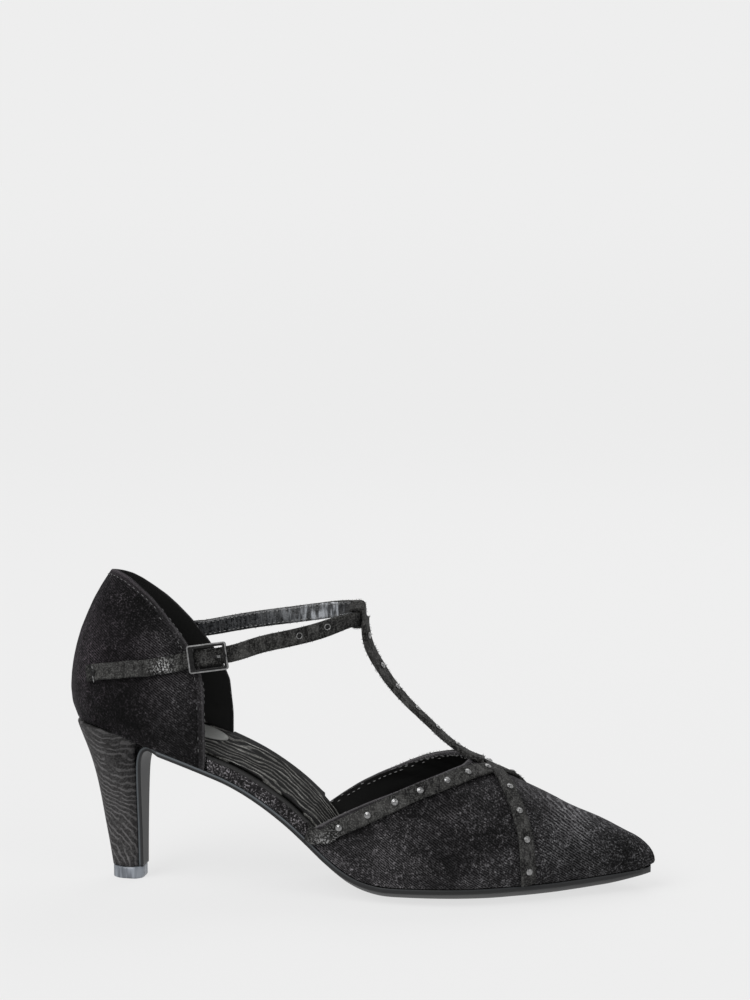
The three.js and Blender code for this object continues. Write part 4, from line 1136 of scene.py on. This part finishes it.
class SHOE_OT_stage(bpy.types.Operator):
    """Builds the pale floor, the soft lights and the camera"""

    bl_idname = "shoe.stage"
    bl_label = "Stage"

    def execute(self, context):
        sizes = context.scene.shoe_stage
        bm = bmesh.new()
        rows = [(FLOOR_FRONT, 0.0), (FLOOR_BACK, 0.0)]
        for step in range(1, 10):
            turn = math.radians(10 * step)
            rows.append((FLOOR_BACK + SWEEP * math.sin(turn), SWEEP - SWEEP * math.cos(turn)))
        rows.append((FLOOR_BACK + SWEEP, WALL_TOP))
        grid = [[bm.verts.new((x, y, z)) for x in (-FLOOR_HALF, FLOOR_HALF)] for y, z in rows]
        for one, two in zip(grid, grid[1:]):
            bm.faces.new((one[0], one[1], two[1], two[0]))
        mesh = bpy.data.meshes.new("floor")
        bm.to_mesh(mesh)
        bm.free()
        mesh.shade_smooth()
        floor = bpy.data.objects.new("floor", mesh)
        context.scene.collection.objects.link(floor)
        paper = Finish("floor_paper", Roughness=1.0)
        paper.set("Specular IOR Level", 0.0)
        rise = paper.z.between(0.0, PAPER_FADE)
        for name, (low, high) in PAPER.items():
            paper.set(name, paper.blend(rise, (low, low, low, 1.0), (high, high, high, 1.0)))
        paper.set("Emission Strength", 1.0)
        mesh.materials.append(paper.material)
        sun = bpy.data.lights.new("soft_light", "SUN")
        sun.energy = SUN_POWER
        sun.angle = math.radians(SUN_SPREAD)
        holder = bpy.data.objects.new("soft_light", sun)
        holder.rotation_euler = [math.radians(angle) for angle in SUN_TURN]
        context.scene.collection.objects.link(holder)
        for name, spot, power, side in LAMPS:
            lamp = bpy.data.lights.new(name, "AREA")
            lamp.energy = power
            lamp.size = side or sizes.softness
            holder = bpy.data.objects.new(name, lamp)
            holder.location = spot
            aim = Vector(LAMP_AIM) - Vector(spot)
            holder.rotation_euler = aim.to_track_quat("-Z", "Y").to_euler()
            context.scene.collection.objects.link(holder)
        world = bpy.data.worlds.new("studio")
        world.use_nodes = True
        sky = world.node_tree.nodes["Background"].inputs
        sky["Color"].default_value = (1.0, 1.0, 1.0, 1.0)
        sky["Strength"].default_value = SKY_POWER
        context.scene.world = world
        lens = bpy.data.cameras.new("camera")
        lens.lens = sizes.lens
        lens.sensor_fit = "VERTICAL"
        lens.sensor_height = 36.0
        camera = bpy.data.objects.new("camera", lens)
        camera.location = CAMERA_PLACE
        camera.rotation_euler = [math.radians(angle) for angle in CAMERA_TURN]
        context.scene.collection.objects.link(camera)
        context.scene.camera = camera
        context.scene.view_settings.view_transform = "Standard"
        return {"FINISHED"}


class SHOE_PT_panel(bpy.types.Panel):
    """The shoe's panel in the sidebar"""

    bl_label = "Shoe"
    bl_space_type = "VIEW_3D"
    bl_region_type = "UI"
    bl_category = "Shoe"

    def draw(self, context):
        for group in GROUPS:
            sizes = getattr(context.scene, group)
            for name in sizes.__annotations__:
                self.layout.prop(sizes, name)
        for step in STEPS:
            self.layout.operator(f"shoe.{step}")


STEPS = ("upper", "sole", "straps", "metal", "stage")
GROUPS = {
    "shoe_shell": ShellSizes,
    "shoe_strap": StrapSizes,
    "shoe_metal": MetalSizes,
    "shoe_stage": StageSizes,
}
OPERATORS = (SHOE_OT_upper, SHOE_OT_sole, SHOE_OT_straps, SHOE_OT_metal, SHOE_OT_stage)


def register():
    """Registers the sizes, the operators and the panel."""
    for name, group in GROUPS.items():
        bpy.utils.register_class(group)
        setattr(bpy.types.Scene, name, PointerProperty(type=group))
    for kind in (*OPERATORS, SHOE_PT_panel):
        bpy.utils.register_class(kind)


def unregister():
    """Takes them away again."""
    for kind in (SHOE_PT_panel, *reversed(OPERATORS)):
        bpy.utils.unregister_class(kind)
    for name, group in reversed(GROUPS.items()):
        delattr(bpy.types.Scene, name)
        bpy.utils.unregister_class(group)


def main():
    """Builds every piece and the stage."""
    register()
    for step in STEPS:
        getattr(bpy.ops.shoe, step)()


if __name__ == "__main__":
    main()
